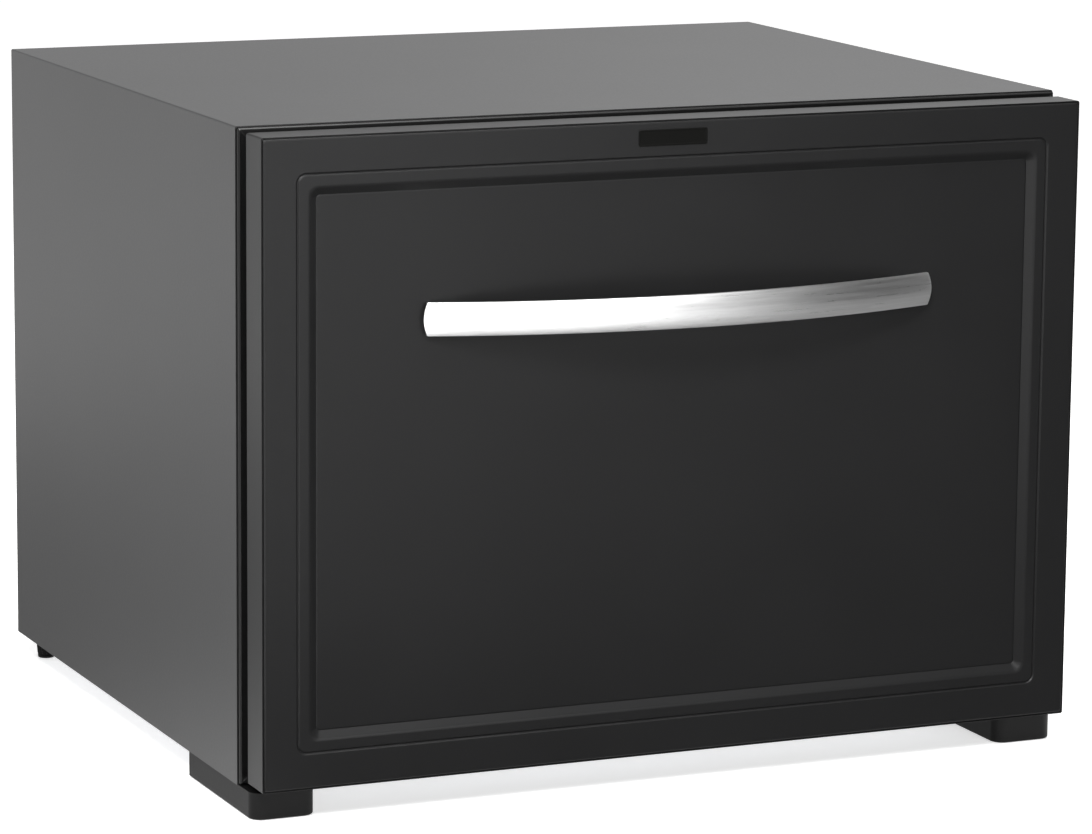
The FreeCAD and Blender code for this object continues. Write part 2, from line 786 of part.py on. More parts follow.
def slide_set(side, word):
    """One side's slide: outer, middle and inner members, with a ball cage between each two."""
    length = ("slide_front", "slide_back")
    outer = channel(f"outer_{word}", side, "0", "outer_mouth", "slide_height / 2", "slide_sheet", "in",
                    length)
    sinks = [sunk_head(f"outer_{word}_sink_{number}", side, spot)
             for number, spot in enumerate(slide_spots("outer"))]
    node(cut(f"slide_outer_{word}", outer, *sinks), f"slide_outer_{word}")

    between = channel(f"middle_{word}", side, "middle_web", "outer_mouth", "middle_top", "slide_sheet",
                      "in", length)
    node(between, f"slide_middle_{word}")

    inner = channel(f"inner_{word}", side, "inner_edge", "slide_thickness", "inner_top", "slide_sheet",
                    "out", length)
    holes = [screw_hole(f"inner_{word}_hole_{number}", "X", spot,
                        mirrored(side, *past_both("bracket_face", "bracket_face + slide_sheet")))
             for number, spot in enumerate(slide_spots("inner"))]
    node(cut(f"slide_inner_{word}", inner, *holes), f"slide_inner_{word}")

    cage_set(side, word, "outer", "outer_cage_web", "outer_ball")
    cage_set(side, word, "inner", "inner_cage_web", "inner_ball")


def cage_set(side, word, row, web, height):
    """A ball cage and its two rows of balls, in the middle of the stretch that its members share."""
    cage_length = "slide_length / 2 - cage_end_gap"
    cage_span = middle("slide_front + slide_length / 2", cage_length)
    number = math.floor(value(f"({cage_length} - ball_diameter) / ball_spacing"))
    strip = channel(f"{row}_cage_{word}", side, web, "cage_edge", f"{height} + cage_sheet / 2", "cage_sheet",
                    "in", cage_span)
    balls = []
    windows = []
    across = f"{side} * (cavity_right - ball_out)"
    for up in (-1, 1):
        z = f"slide_middle + {up} * ({height})"
        for step in range(number + 1):
            y = f"slide_front + slide_length / 2 + ball_spacing * ({step} - {number} / 2)"
            balls.append(ball(f"{row}_ball_{word}_{up + 1}_{step}", across, y, z, "ball_diameter"))
            windows.append(rod(f"{row}_window_{word}_{up + 1}_{step}", "Z", (across, y),
                               past_both(*middle(z, "cage_sheet")), "ball_diameter + 4 * ball_gap"))
    node(cut(f"{row}_cage_{word}", strip, *windows), f"{row}_cage_{word}")
    node(group(f"{row}_balls_{word}", *balls), f"{row}_balls_{word}")


def slides():
    """Both slides and the screws that hold their outer members to the liner."""
    screws = []
    for side, word in ((-1, "left"), (1, "right")):
        slide_set(side, word)
        for number, spot in enumerate(slide_spots("outer")):
            head = sunk_head(f"slide_screw_head_{word}_{number}", side, spot)
            shank = rod(f"slide_screw_shank_{word}_{number}", "X", spot,
                        mirrored(side, "cavity_right", "cavity_right + slide_screw_reach"), "screw")
            screws.append(fuse(f"slide_screw_{word}_{number}", head, shank))
    node(group("slide_outer_screws", *screws), "slide_outer_screws")


# ------------------------------------------------------------------ drawer front

def front_panel():
    """The moulded skin of the drawer front: a frame with a fine groove around a sunken panel."""
    body = new_body("drawer_front_panel")
    add(body, "panel_blank", ("-front_right", "front_right"), ("face", "front_back"),
        ("front_bottom", "front_top"))
    round_edges(body, "panel_corner", "front_corner", "Y", x="front_right")
    round_edges(body, "panel_edge_x", "front_edge", "X", y="face")
    take(body, "panel_pocket", ("-front_right + skin_side", "front_right - skin_side"),
         past_high("face + skin_face", "front_back"), ("front_bottom + skin_side", "front_top - skin_side"))
    recess(body)
    groove(body)
    drill_screws(body, "panel_handle_hole", "Y", handle_spots(), past_both("face", "face + skin_face"))
    node(body, "drawer_front_panel")


def recess(body):
    """The sunken panel, with a bevel around it."""
    rings = []
    floor_in = "recess_in + recess_bevel"
    for name, depth, inset, corner in (("recess_mouth", "0", "recess_in", "recess_corner"),
                                       ("recess_floor", "recess_depth", floor_in, "recess_floor_corner")):
        sketch = sketch_on(body, name, "XZ", f"-(face + {depth})")
        draw_rounded(sketch, name, "front_middle", f"2 * (front_right - ({inset}))",
                     f"front_height - 2 * ({inset})", corner)
        rings.append(sketch)
    loft = body.newObject("PartDesign::SubtractiveLoft", "recess")
    loft.Profile = rings[0]
    loft.Sections = [rings[1]]
    loft.Ruled = True
    round_edges(body, "recess_mouth_round", "recess_edge", "X", y="face", z="front_top - recess_in")


def groove(body):
    """The fine groove around the frame."""
    sketch = sketch_on(body, "groove_outline", "XZ", "-face")
    for name, inset in (("outer", "groove_in"), ("inner", "groove_in + groove_width")):
        draw_rounded(sketch, name, "front_middle", f"2 * (front_right - ({inset}))",
                     f"front_height - 2 * ({inset})", f"groove_corner + groove_in - ({inset})")
    pocket = body.newObject("PartDesign::Pocket", "groove")
    pocket.Profile = sketch
    bind(pocket, Length="groove_depth")


def handle_spots():
    """Where the handle's screws stand, as X and Z."""
    out = "handle_span / 2 - post_in - post_width / 2"
    return [(f"{side} * ({out})", "handle_middle") for side in (-1, 1)]


def bracket_spots():
    """Where the screws through the brackets' front tabs stand, as X and Z."""
    across = "bracket_face - bracket_tab / 2"
    low, high = "tray + bracket_screw_end", "slide_middle + slide_height / 2 - bracket_screw_end"
    levels = [low, f"({low} + {high}) / 2", high]
    return [(f"{side} * ({across})", level) for side in (-1, 1) for level in levels]


def front_core():
    """The foam inside the drawer front, the panel that closes it and the gasket."""
    body = new_body("drawer_front_foam")
    x = ("-front_right + skin_side", "front_right - skin_side")
    z = ("front_bottom + skin_side", "front_top - skin_side")
    add(body, "front_foam_block", x, ("face + skin_face", "pocket_back"), z)
    for number, spot in enumerate(handle_spots()):
        drill(body, f"front_foam_head_{number}", "Y", spot, past_both("face + skin_face", "pocket_back"),
              "screw_head + 4 * screw_gap")
    drill_screws(body, "front_foam_hole", "Y", bracket_spots(),
                 ("pocket_back - bracket_screw_reach", "front_back"))
    node(body, "drawer_front_foam")

    body = new_body("drawer_inner_panel")
    add(body, "inner_panel_sheet", x, ("pocket_back", "front_back"), z)
    drill_screws(body, "inner_panel_hole", "Y", bracket_spots(), past_both("pocket_back", "front_back"))
    node(body, "drawer_inner_panel")

    body = new_body("drawer_gasket")
    depth = ("front_back", "frame_face - soft_gap")
    add(body, "gasket_block", ("left + gasket_in", "right - gasket_in"), depth,
        ("base + gasket_in", "top - gasket_in"))
    inside = "gasket_in + gasket_width"
    take(body, "gasket_hollow", (f"left + {inside}", f"right - ({inside})"),
         past_both("front_back", "frame_face"), (f"base + {inside}", f"top - ({inside})"))
    node(body, "drawer_gasket")

    badge = box("badge_plate", middle("-badge_left", "badge_width"), ("face - badge_thickness", "face"),
                middle("front_top - badge_drop + badge_height / 2", "badge_height"))
    node(badge, "badge_plate")


# ------------------------------------------------------------------ handle

def handle():
    """The bowed strap, the posts behind its ends and their screws."""
    body = new_body("handle_sweep")
    bind(body, Placement__Base__y="handle_centre", Placement__Base__z="handle_middle")
    section = sketch_on(body, "handle_section", "YZ", "0")
    strap_outline(section)
    sweep = body.newObject("PartDesign::Revolution", "handle_turn")
    sweep.Profile = section
    line = [item for item in body.Origin.OriginFeatures if item.Role == "Z_Axis"][0]
    sweep.ReferenceAxis = (line, [""])
    sweep.Midplane = True
    bind(sweep, Angle="2 * asin((handle_span / 2 + handle_rise) / handle_radius) / 1deg")

    ends = new_body("handle_ends")
    outline = sketch_on(ends, "handle_outline", "XZ", "-face - front_thickness")
    end_outline(outline)
    pad = ends.newObject("PartDesign::Pad", "handle_prism")
    pad.Profile = outline
    bind(pad, Length="handle_standoff + front_thickness + handle_thickness")
    node(common("handle_strap", body, ends), "handle_strap")

    posts = []
    for side, word in ((-1, "left"), (1, "right")):
        x = mirrored(side, "handle_span / 2 - post_in - post_width", "handle_span / 2 - post_in")
        block = box(f"post_block_{word}", x, ("face - handle_standoff", "recess_face"),
                    middle("handle_middle", "post_height"))
        drum = rod(f"post_drum_{word}", "Z", ("0", "handle_centre"),
                   middle("handle_middle", "2 * post_height"),
                   "2 * (handle_radius - handle_thickness - post_gap)")
        hole = screw_hole(f"post_hole_{word}", "Y", handle_spots()[0 if side < 0 else 1],
                          past_high("recess_face - handle_screw_reach", "recess_face"))
        posts.append(cut(f"post_{word}", common(f"post_shape_{word}", block, drum), hole))
    node(group("handle_posts", *posts), "handle_posts")
    screws = [screw(f"handle_screw_{number}", "Y", spot, "face + skin_face",
                    "recess_face - handle_screw_reach") for number, spot in enumerate(handle_spots())]
    node(group("handle_screws", *screws), "handle_screws")


def strap_outline(sketch):
    """The strap's section: flat behind, crowned in front, with thin rims above and below."""
    half = "handle_height / 2"
    crown = "handle_thickness - handle_rim"
    back = "-(handle_radius - handle_thickness)"
    rim = f"{back} - handle_rim"
    bow = value(f"({half}) ^ 2 / 2 / ({crown}) + ({crown}) / 2")
    centre = Vector(value("-handle_radius") + bow, 0, 0)
    reach = math.asin(value(half) / bow)
    arc = Part.ArcOfCircle(Part.Circle(centre, Vector(0, 0, 1), bow), math.pi - reach, math.pi + reach)
    curve = sketch.addGeometry(arc, False)
    top = sketch.addGeometry(Part.LineSegment(Vector(value(back), value(half), 0),
                                              Vector(value(rim), value(half), 0)), False)
    rear = sketch.addGeometry(Part.LineSegment(Vector(value(back), -value(half), 0),
                                               Vector(value(back), value(half), 0)), False)
    low = sketch.addGeometry(Part.LineSegment(Vector(value(rim), -value(half), 0),
                                              Vector(value(back), -value(half), 0)), False)
    for first, end, second, start in ((rear, 2, top, 1), (low, 2, rear, 1), (top, 2, curve, 1),
                                      (curve, 2, low, 1)):
        sketch.addConstraint(Sketcher.Constraint("Coincident", first, end, second, start))
    pin_point(sketch, "back_top", rear, 2, back, half)
    pin_point(sketch, "back_low", rear, 1, back, f"-{half}")
    pin_point(sketch, "rim_top", top, 2, rim, half)
    pin_point(sketch, "rim_low", low, 1, rim, f"-{half}")
    radius = f"({half}) ^ 2 / 2 / ({crown}) + ({crown}) / 2"
    sketch.addConstraint(Sketcher.Constraint("Radius", curve, bow))
    sketch.renameConstraint(sketch.ConstraintCount - 1, "crown_radius")
    sketch.setExpression("Constraints.crown_radius", formula(radius))


def end_outline(sketch):
    """The strap seen from the front: straight edges above and below, and bulging ends."""
    half_height = value("handle_height / 2")
    bulge = value("handle_end_bulge")
    straight = value("handle_span / 2 - handle_end_bulge")
    middle_z = value("handle_middle")
    bow = (half_height ** 2 + bulge ** 2) / 2 / bulge
    reach = math.asin(half_height / bow)
    low, high = value("handle_middle - handle_height / 2"), value("handle_middle + handle_height / 2")
    curves = []
    for side in (1, -1):
        centre = Vector(side * (straight + bulge - bow), middle_z, 0)
        start = -reach if side > 0 else math.pi - reach
        circle = Part.Circle(centre, Vector(0, 0, 1), bow)
        curves.append(sketch.addGeometry(Part.ArcOfCircle(circle, start, start + 2 * reach), False))
    top = sketch.addGeometry(Part.LineSegment(Vector(straight, high, 0), Vector(-straight, high, 0)), False)
    bottom = sketch.addGeometry(Part.LineSegment(Vector(-straight, low, 0), Vector(straight, low, 0)), False)
    right, left = curves
    for first, end, second, start in ((right, 2, top, 1), (top, 2, left, 1), (left, 2, bottom, 1),
                                      (bottom, 2, right, 1)):
        sketch.addConstraint(Sketcher.Constraint("Coincident", first, end, second, start))
    edge = "handle_span / 2 - handle_end_bulge"
    pin_point(sketch, "top_right", top, 1, edge, "handle_middle + handle_height / 2")
    pin_point(sketch, "top_left", top, 2, f"-({edge})", "handle_middle + handle_height / 2")
    pin_point(sketch, "low_left", bottom, 1, f"-({edge})", "handle_middle - handle_height / 2")
    pin_point(sketch, "low_right", bottom, 2, edge, "handle_middle - handle_height / 2")
    radius = "((handle_height / 2) ^ 2 + handle_end_bulge ^ 2) / 2 / handle_end_bulge"
    for number, curve in enumerate(curves):
        sketch.addConstraint(Sketcher.Constraint("Radius", curve, bow))
        sketch.renameConstraint(sketch.ConstraintCount - 1, f"end_{number}")
        sketch.setExpression(f"Constraints.end_{number}", formula(radius))


# ------------------------------------------------------------------ drawer box

def bracket(side, word):
    """A steel bracket that hangs the bin on a slide's inner member and carries the drawer front."""
    name = f"drawer_bracket_{word}"
    body = new_body(name)
    outer = "bracket_face"
    inner = "bracket_face - bracket_sheet"
    height = ("tray - bracket_sheet", "slide_middle + slide_height / 2")
    add(body, name + "_plate", mirrored(side, inner, outer), ("front_back", "slide_back"), height)
    add(body, name + "_lip", mirrored(side, f"{outer} - bracket_lip", outer), ("bin_front", "bin_back"),
        ("tray - bracket_sheet", "tray"))
    add(body, name + "_tab", mirrored(side, f"{outer} - bracket_tab", outer),
        ("front_back", "front_back + bracket_sheet"), height)
    spots = bracket_spots()[:3] if side < 0 else bracket_spots()[3:]
    drill_screws(body, name + "_tab_hole", "Y", spots, past_both("front_back", "front_back + bracket_sheet"))
    drill_screws(body, name + "_slide_hole", "X", slide_spots("inner"),
                 mirrored(side, *past_both(inner, outer)))
    node(body, name)


def drawer_box():
    """The brackets, the bin that they hold, the sliding divider and the screws."""
    for side, word in ((-1, "left"), (1, "right")):
        bracket(side, word)
    tab_screws = [screw(f"bracket_screw_{number}", "Y", spot, "front_back + bracket_sheet",
                        "pocket_back - bracket_screw_reach + screw_gap")
                  for number, spot in enumerate(bracket_spots())]
    node(group("bracket_screws", *tab_screws), "bracket_screws")
    slide_screws = []
    for side, word in ((-1, "left"), (1, "right")):
        seat = f"{side} * (bracket_face - bracket_sheet)"
        tip = f"{side} * (bracket_face + slide_sheet)"
        for number, spot in enumerate(slide_spots("inner")):
            slide_screws.append(screw(f"slide_inner_screw_{word}_{number}", "X", spot, seat, tip, head=-side))
    node(group("slide_inner_screws", *slide_screws), "slide_inner_screws")

    body = new_body("drawer_bin")
    add(body, "bin_block", ("-bin_right", "bin_right"), ("bin_front", "bin_back"), ("tray", "bin_rim"))
    take(body, "bin_hollow", ("-bin_right + bin_wall", "bin_right - bin_wall"),
         ("bin_front + bin_wall", "bin_back - bin_wall"), past_high("tray + bin_wall", "bin_rim"))
    round_edges(body, "bin_inner_round", "bin_corner - bin_wall", "Z", x="bin_right - bin_wall")
    round_edges(body, "bin_round", "bin_corner", "Z", x="bin_right")
    node(body, "drawer_bin")
    bottle_divider()


def bottle_divider():
    """A plate across the bin that hooks over its front and rear walls and slides sideways."""
    body = new_body("bottle_divider")
    sheet = middle("0", "divider_sheet")
    hook = middle("0", "hook_width")
    bridge = ("bin_rim + divider_gap", "bin_rim + divider_gap + divider_sheet")
    drop = ("bin_rim - hook_drop", bridge[1])
    inner_front = "bin_front + bin_wall + divider_gap"
    inner_back = "bin_back - bin_wall - divider_gap"
    outer_front = "bin_front - divider_gap"
    outer_back = "bin_back + divider_gap"
    add(body, "divider_plate", sheet, (inner_front, inner_back),
        ("tray + bin_wall + divider_lift", bridge[1]))
    add(body, "divider_front_bridge", hook,
        (f"{outer_front} - divider_sheet", f"{inner_front} + divider_sheet"), bridge)
    add(body, "divider_front_hook", hook, (f"{outer_front} - divider_sheet", outer_front), drop)
    add(body, "divider_back_bridge", hook,
        (f"{inner_back} - divider_sheet", f"{outer_back} + divider_sheet"), bridge)
    add(body, "divider_back_hook", hook, (outer_back, f"{outer_back} + divider_sheet"), drop)
    node(body, "bottle_divider")


# ------------------------------------------------------------------ cooling unit

def cooling_unit():
    """The cold side in the compartment, the block through the wall and the hot side in the rear bay."""
    x = middle("0", "block_side")
    z = middle("unit_middle", "block_side")
    node(box("cold_block", x, ("cavity_back", "bay_front - module_thickness"), z), "cold_block")
    module = box("peltier_module", middle("0", "module_side"), ("bay_front - module_thickness", "bay_front"),
                 middle("unit_middle", "module_side"))
    node(module, "peltier_module")
    cold_side()
    hot_side()
    clamps = [screw(f"clamp_screw_{number}", "Y", spot, "hot_face", "cavity_back - cold_base")
              for number, spot in enumerate(clamp_spots())]
    node(group("clamp_screws", *clamps), "clamp_screws")


def cold_side():
    """The finned cold sink on the liner's rear wall, and its hood."""
    body = new_body("cold_sink")
    z = middle("unit_middle", "cold_height")
    add(body, "cold_plate", middle("0", "cold_width"), ("cavity_back - cold_base", "cavity_back"), z)
    count = "floor((cold_width - cold_fin_sheet) / cold_fin_pitch) + 1"
    first = f"-cold_fin_pitch * ({count} - 1) / 2"
    fin = add(body, "cold_fin_first", middle(first, "cold_fin_sheet"),
              ("cavity_back - cold_base - cold_fin", "cavity_back - cold_base"), z)
    repeat(body, "cold_fins", fin, "X", count, "cold_fin_pitch")
    drill_screws(body, "cold_clamp_hole", "Y", clamp_spots(),
                 past_both("cavity_back - cold_base - cold_fin", "cavity_back"))
    node(body, "cold_sink")

    body = new_body("cold_hood")
    gap = "hood_gap + hood_wall"
    add(body, "hood_block", middle("0", f"cold_width + 2 * ({gap})"), ("hood_front", "cavity_back"),
        middle("unit_middle", f"cold_height + 2 * ({gap})"))
    take(body, "hood_hollow", middle("0", "cold_width + 2 * hood_gap"),
         past_high("hood_front + hood_wall", "cavity_back"),
         middle("unit_middle", "cold_height + 2 * hood_gap"))
    count = "floor(cold_width / vent_pitch)"
    slot = take(body, "hood_slot", middle(f"-vent_pitch * ({count} - 1) / 2", "vent_width"),
                past_both("hood_front", "hood_front + hood_wall"),
                middle("unit_middle", "cold_height - 2 * hood_gap"))
    repeat(body, "hood_slots", slot, "X", count, "vent_pitch")
    node(body, "cold_hood")


def fan_spots():
    """Where the fan's screws stand, as X and Z."""
    out = "fan_side / 2 - fan_hole_in"
    return [(f"{side} * ({out})", f"unit_middle + {up} * ({out})") for side in (-1, 1) for up in (-1, 1)]


def hot_side():
    """The finned hot sink on the bulkhead, with its fan."""
    body = new_body("hot_sink")
    z = middle("unit_middle", "hot_side")
    add(body, "hot_plate", middle("0", "hot_side"), ("bay_front", "hot_face"), z)
    count = "floor((hot_side - hot_fin_sheet) / hot_fin_pitch) + 1"
    fin = add(body, "hot_fin_first", middle(f"-hot_fin_pitch * ({count} - 1) / 2", "hot_fin_sheet"),
              ("hot_face", "fin_back"), z)
    repeat(body, "hot_fins", fin, "X", count, "hot_fin_pitch")
    drill_screws(body, "hot_clamp_hole", "Y", clamp_spots(), past_both("bay_front", "hot_face"))
    for number, spot in enumerate(clamp_spots()):
        drill(body, f"hot_clamp_head_{number}", "Y", spot, past_high("hot_face", "fin_back"),
              "screw_head + 4 * screw_gap")
    drill_screws(body, "hot_fan_hole", "Y", fan_spots(),
                 past_high("fin_back - fan_screw_reach - screw_gap", "fin_back"))
    node(body, "hot_sink")
    fan_frame()
    fan_rotor()
    screws = [screw(f"fan_screw_{number}", "Y", spot, "fan_back", "fin_back - fan_screw_reach")
              for number, spot in enumerate(fan_spots())]
    node(group("fan_screws", *screws), "fan_screws")


PLACES.update({
    "fan_bore": "fan_side - 2 * fan_plate",
    "strut": "fan_hub / 6",
    "plate_front": "fan_back - fan_plate",
    "rotor_front": "fin_back + fan_clearance",
    "rotor_back": "plate_front - fan_clearance",
})


def fan_frame():
    """The fan's square frame: a round duct, with the motor's plate on four struts at its back."""
    frame = box("fan_frame_block", middle("0", "fan_side"), ("fin_back", "fan_back"),
                middle("unit_middle", "fan_side"))
    duct = rod("fan_duct", "Y", ("0", "unit_middle"), past_both("fin_back", "fan_back"), "fan_bore")
    plate = rod("fan_motor_plate", "Y", ("0", "unit_middle"), ("plate_front", "fan_back"), "fan_hub")
    across = box("fan_strut_across", middle("0", "fan_bore + fan_plate"), ("plate_front", "fan_back"),
                 middle("unit_middle", "strut"))
    upright = box("fan_strut_up", middle("0", "strut"), ("plate_front", "fan_back"),
                  middle("unit_middle", "fan_bore + fan_plate"))
    solid = fuse("fan_frame_solid", cut("fan_frame_ring", frame, duct), plate, across, upright)
    bearing = rod("fan_bearing", "Y", ("0", "unit_middle"), past_both("plate_front", "fan_back"),
                  "fan_shaft + 2 * running_gap")
    holes = [screw_hole(f"fan_frame_hole_{number}", "Y", spot, past_both("fin_back", "fan_back"))
             for number, spot in enumerate(fan_spots())]
    node(cut("hot_fan_frame", solid, bearing, *holes), "hot_fan_frame")


BLADES = 7
BLADE_PITCH = 38


def fan_rotor():
    """The fan's hub, shaft and pitched blades."""
    hub_radius = value("fan_hub / 2")
    tip_radius = value("fan_bore / 2 - fan_clearance")
    front, back = value("rotor_front"), value("rotor_back")
    depth = back - front
    axis = Vector(0, 1, 0)
    centre = Vector(0, front, value("unit_middle"))
    hub = Part.makeCylinder(hub_radius, depth, centre, axis)
    shaft_length = value("fan_back") - back
    shaft = Part.makeCylinder(value("fan_shaft / 2"), shaft_length, Vector(0, back, centre.z), axis)
    envelope = Part.makeCylinder(tip_radius, depth, centre, axis)
    chord = 2 * depth / math.cos(math.radians(BLADE_PITCH))
    thickness = value("fan_blade")
    shape = hub.fuse(shaft)
    for number in range(BLADES):
        blade = Part.makeBox(tip_radius - hub_radius / 2, chord, thickness,
                             Vector(hub_radius / 2, -chord / 2, -thickness / 2))
        blade.rotate(Vector(), Vector(1, 0, 0), BLADE_PITCH)
        blade.rotate(Vector(), axis, 360 * number / BLADES)
        blade.translate(Vector(0, (front + back) / 2, centre.z))
        shape = shape.fuse(blade.common(envelope))
    piece = DOC.addObject("Part::Feature", "hot_fan_rotor")
    piece.Shape = shape.removeSplitter()
    node(piece, "hot_fan_rotor")


# ------------------------------------------------------------------ electrics

def electrics():
    """Power supply, power inlet, lamp, thermostat knob and the drawer's reed switch."""
    body = new_body("power_supply")
    x = ("left + supply_in", "left + supply_in + supply_width")
    add(body, "supply_block", x, ("bay_front", "bay_front + supply_depth"),
        middle("base + supply_up", "supply_height"))
    round_edges(body, "supply_round", "supply_corner", "Y", x="left + supply_in + supply_width")
    node(body, "power_supply")

    body = new_body("power_inlet")
    x = "left + inlet_in"
    z = "base + inlet_up"
    shell_width = "inlet_width - 2 * inlet_flange - 2 * screw_gap"
    shell_height = "inlet_height - 2 * inlet_flange - 2 * screw_gap"
    add(body, "inlet_plate", middle(x, "inlet_width"), ("back", "back + inlet_flange"),
        middle(z, "inlet_height"))
    add(body, "inlet_shell", middle(x, shell_width), ("back - inlet_depth", "back"), middle(z, shell_height))
    take(body, "inlet_socket", middle(x, f"{shell_width} - 2 * inlet_wall"),
         past_high("back - inlet_depth + inlet_wall", "back + inlet_flange"),
         middle(z, f"{shell_height} - 2 * inlet_wall"))
    pins = []
    for number, (across, up) in enumerate(((-1, 0), (0, 1), (1, 0))):
        spans = (middle(f"{x} + {across} * pin_spread", "pin_thickness"),
                 ("back - inlet_depth - pin_set_back", "back + inlet_flange - pin_set_back"),
                 middle(f"{z} + {up} * pin_spread / 2 - pin_spread / 4", "pin_height"))
        take(body, f"inlet_pin_slot_{number}", spans[0],
             past_low("back - inlet_depth", "back - inlet_depth + inlet_wall"), spans[2])
        pins.append(box(f"inlet_pin_{number}", *spans))
    node(body, "power_inlet")
    node(group("inlet_pins", *pins), "inlet_pins")
    lamp()
    reed()


def lamp():
    """The lamp under the compartment's ceiling, with the thermostat's knob beside its lens."""
    body = new_body("lamp_housing")
    depth = ("lamp_front", "lamp_front + lamp_depth")
    lens_centre = "lens_width / 2 - lamp_width / 2 + lens_edge"
    lens_x = middle(lens_centre, "lens_width")
    lens_y = middle("lamp_front + lamp_depth / 2", "lens_depth")
    add(body, "lamp_block", middle("0", "lamp_width"), depth, ("lamp_under", "cavity_top"))
    take(body, "lamp_window", lens_x, lens_y,
         past_low("lamp_under", "lamp_under + lamp_height - lens_sheet"))
    spot = ("knob_out", "lamp_front + lamp_depth / 2")
    drill(body, "lamp_spindle_hole", "Z", spot,
          past_low("lamp_under", "lamp_under + lamp_height / 2 + knob_gap"), "spindle + 2 * running_gap")
    node(body, "lamp_housing")
    lens = box("lamp_lens", lens_x, lens_y, ("lamp_under", "lamp_under + lens_sheet"))
    node(lens, "lamp_lens")

    grip = rod("knob_grip", "Z", spot, ("lamp_under - knob_gap - knob_height", "lamp_under - knob_gap"),
               "knob_diameter")
    pointer = box("knob_pointer", middle(spot[0], "pin_thickness"),
                  (f"{spot[1]} - knob_diameter / 2 - knob_pointer", spot[1]),
                  ("lamp_under - knob_gap - knob_height", "lamp_under - knob_gap"))
    shaft = rod("knob_spindle", "Z", spot, ("lamp_under - knob_gap", "lamp_under + lamp_height / 2"),
                "spindle")
    node(fuse("thermostat_knob", grip, pointer, shaft), "thermostat_knob")


PLACES["lens_edge"] = "(lamp_depth - lens_depth) / 2"


def reed():
    """The reed switch on the lamp's front and the magnet on the drawer's inner panel that works it."""
    switch = box("reed_switch", middle("0", "reed_width"), ("lamp_front - reed_height", "lamp_front"),
                 ("cavity_top - reed_height", "cavity_top"))
    node(switch, "reed_switch")
    magnet = box("reed_magnet", middle("0", "reed_width"), ("front_back", "front_back + magnet_depth"),
                 ("cavity_top - 2 * reed_height", "cavity_top - reed_height"))
    node(magnet, "reed_magnet")


# ------------------------------------------------------------------ build, test and export

def test_document():
    """Stop if any object failed, or any sub-part is empty or not valid."""
    failed = [item.Name for item in DOC.Objects if {"Invalid", "Error"} & set(item.State)]
    if failed:
        raise RuntimeError("these objects failed: " + ", ".join(failed))
    empty = [piece.Label for piece in NODES
             if piece.Shape.isNull() or not piece.Shape.isValid() or not piece.Shape.Solids]
    if empty:
        raise RuntimeError("these sub-parts have no valid solid: " + ", ".join(empty))


def main():
    """Build every sub-part and write its STEP file."""
    fill_sheet()
    cabinet_shell()
    base_plate()
    back_cover()
    insulation_foam()
    inner_liner()
    front_frame()
    rear_bulkhead()
    feet()
    slides()
    front_panel()
    front_core()
    handle()
    drawer_box()
    cooling_unit()
    electrics()
    DOC.recompute()
    test_document()
    os.makedirs("parts", exist_ok=True)
    for piece in NODES:
        piece.Shape.exportStep(f"parts/{piece.Label}.step")
        print(f"{piece.Label}: {len(piece.Shape.Solids)} solid(s), {piece.Shape.Volume / 1000:.2f} cm3")


main()
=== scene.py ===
"""A hotel minibar cabinet with one deep insulated drawer: its finishes, its fine detail, the studio and the camera.

Sizes are in millimetres, and each mesh is scaled to metres when it is finished. X points to the right, Y to the
back and Z up.
"""

import logging
import math
import random
from collections.abc import Callable, Sequence
from dataclasses import dataclass
from enum import Enum

import bmesh
import bpy
from mathutils import Matrix, Vector


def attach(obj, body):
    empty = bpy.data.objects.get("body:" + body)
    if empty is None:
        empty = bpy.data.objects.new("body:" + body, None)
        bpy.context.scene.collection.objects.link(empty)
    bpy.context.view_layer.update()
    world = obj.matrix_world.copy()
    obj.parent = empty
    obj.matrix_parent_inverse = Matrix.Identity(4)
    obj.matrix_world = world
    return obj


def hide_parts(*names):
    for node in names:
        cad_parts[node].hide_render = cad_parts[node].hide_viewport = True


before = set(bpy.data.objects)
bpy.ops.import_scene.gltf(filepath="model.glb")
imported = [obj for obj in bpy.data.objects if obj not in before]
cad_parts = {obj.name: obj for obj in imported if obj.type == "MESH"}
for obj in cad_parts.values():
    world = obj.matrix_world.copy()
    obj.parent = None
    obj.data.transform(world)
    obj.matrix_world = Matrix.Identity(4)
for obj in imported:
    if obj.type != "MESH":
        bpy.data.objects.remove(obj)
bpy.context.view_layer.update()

LOG = logging.getLogger("minibar")
MM = 0.001
# An edge is hard above the first angle and flat below the second.
SHARP_ANGLE = math.radians(38)
FLAT_ANGLE = math.radians(0.5)
# Points closer than this are one point, shorter edges are not rounded, and a turned shape ends at this radius.
WELD = 0.002
SHORT_EDGE = 0.3
POLE = 0.02
Colour = tuple[float, float, float]
Point = tuple[float, float, float]
Spot = tuple[float, float]


# ------------------------------------------------------------------ node trees written as expressions

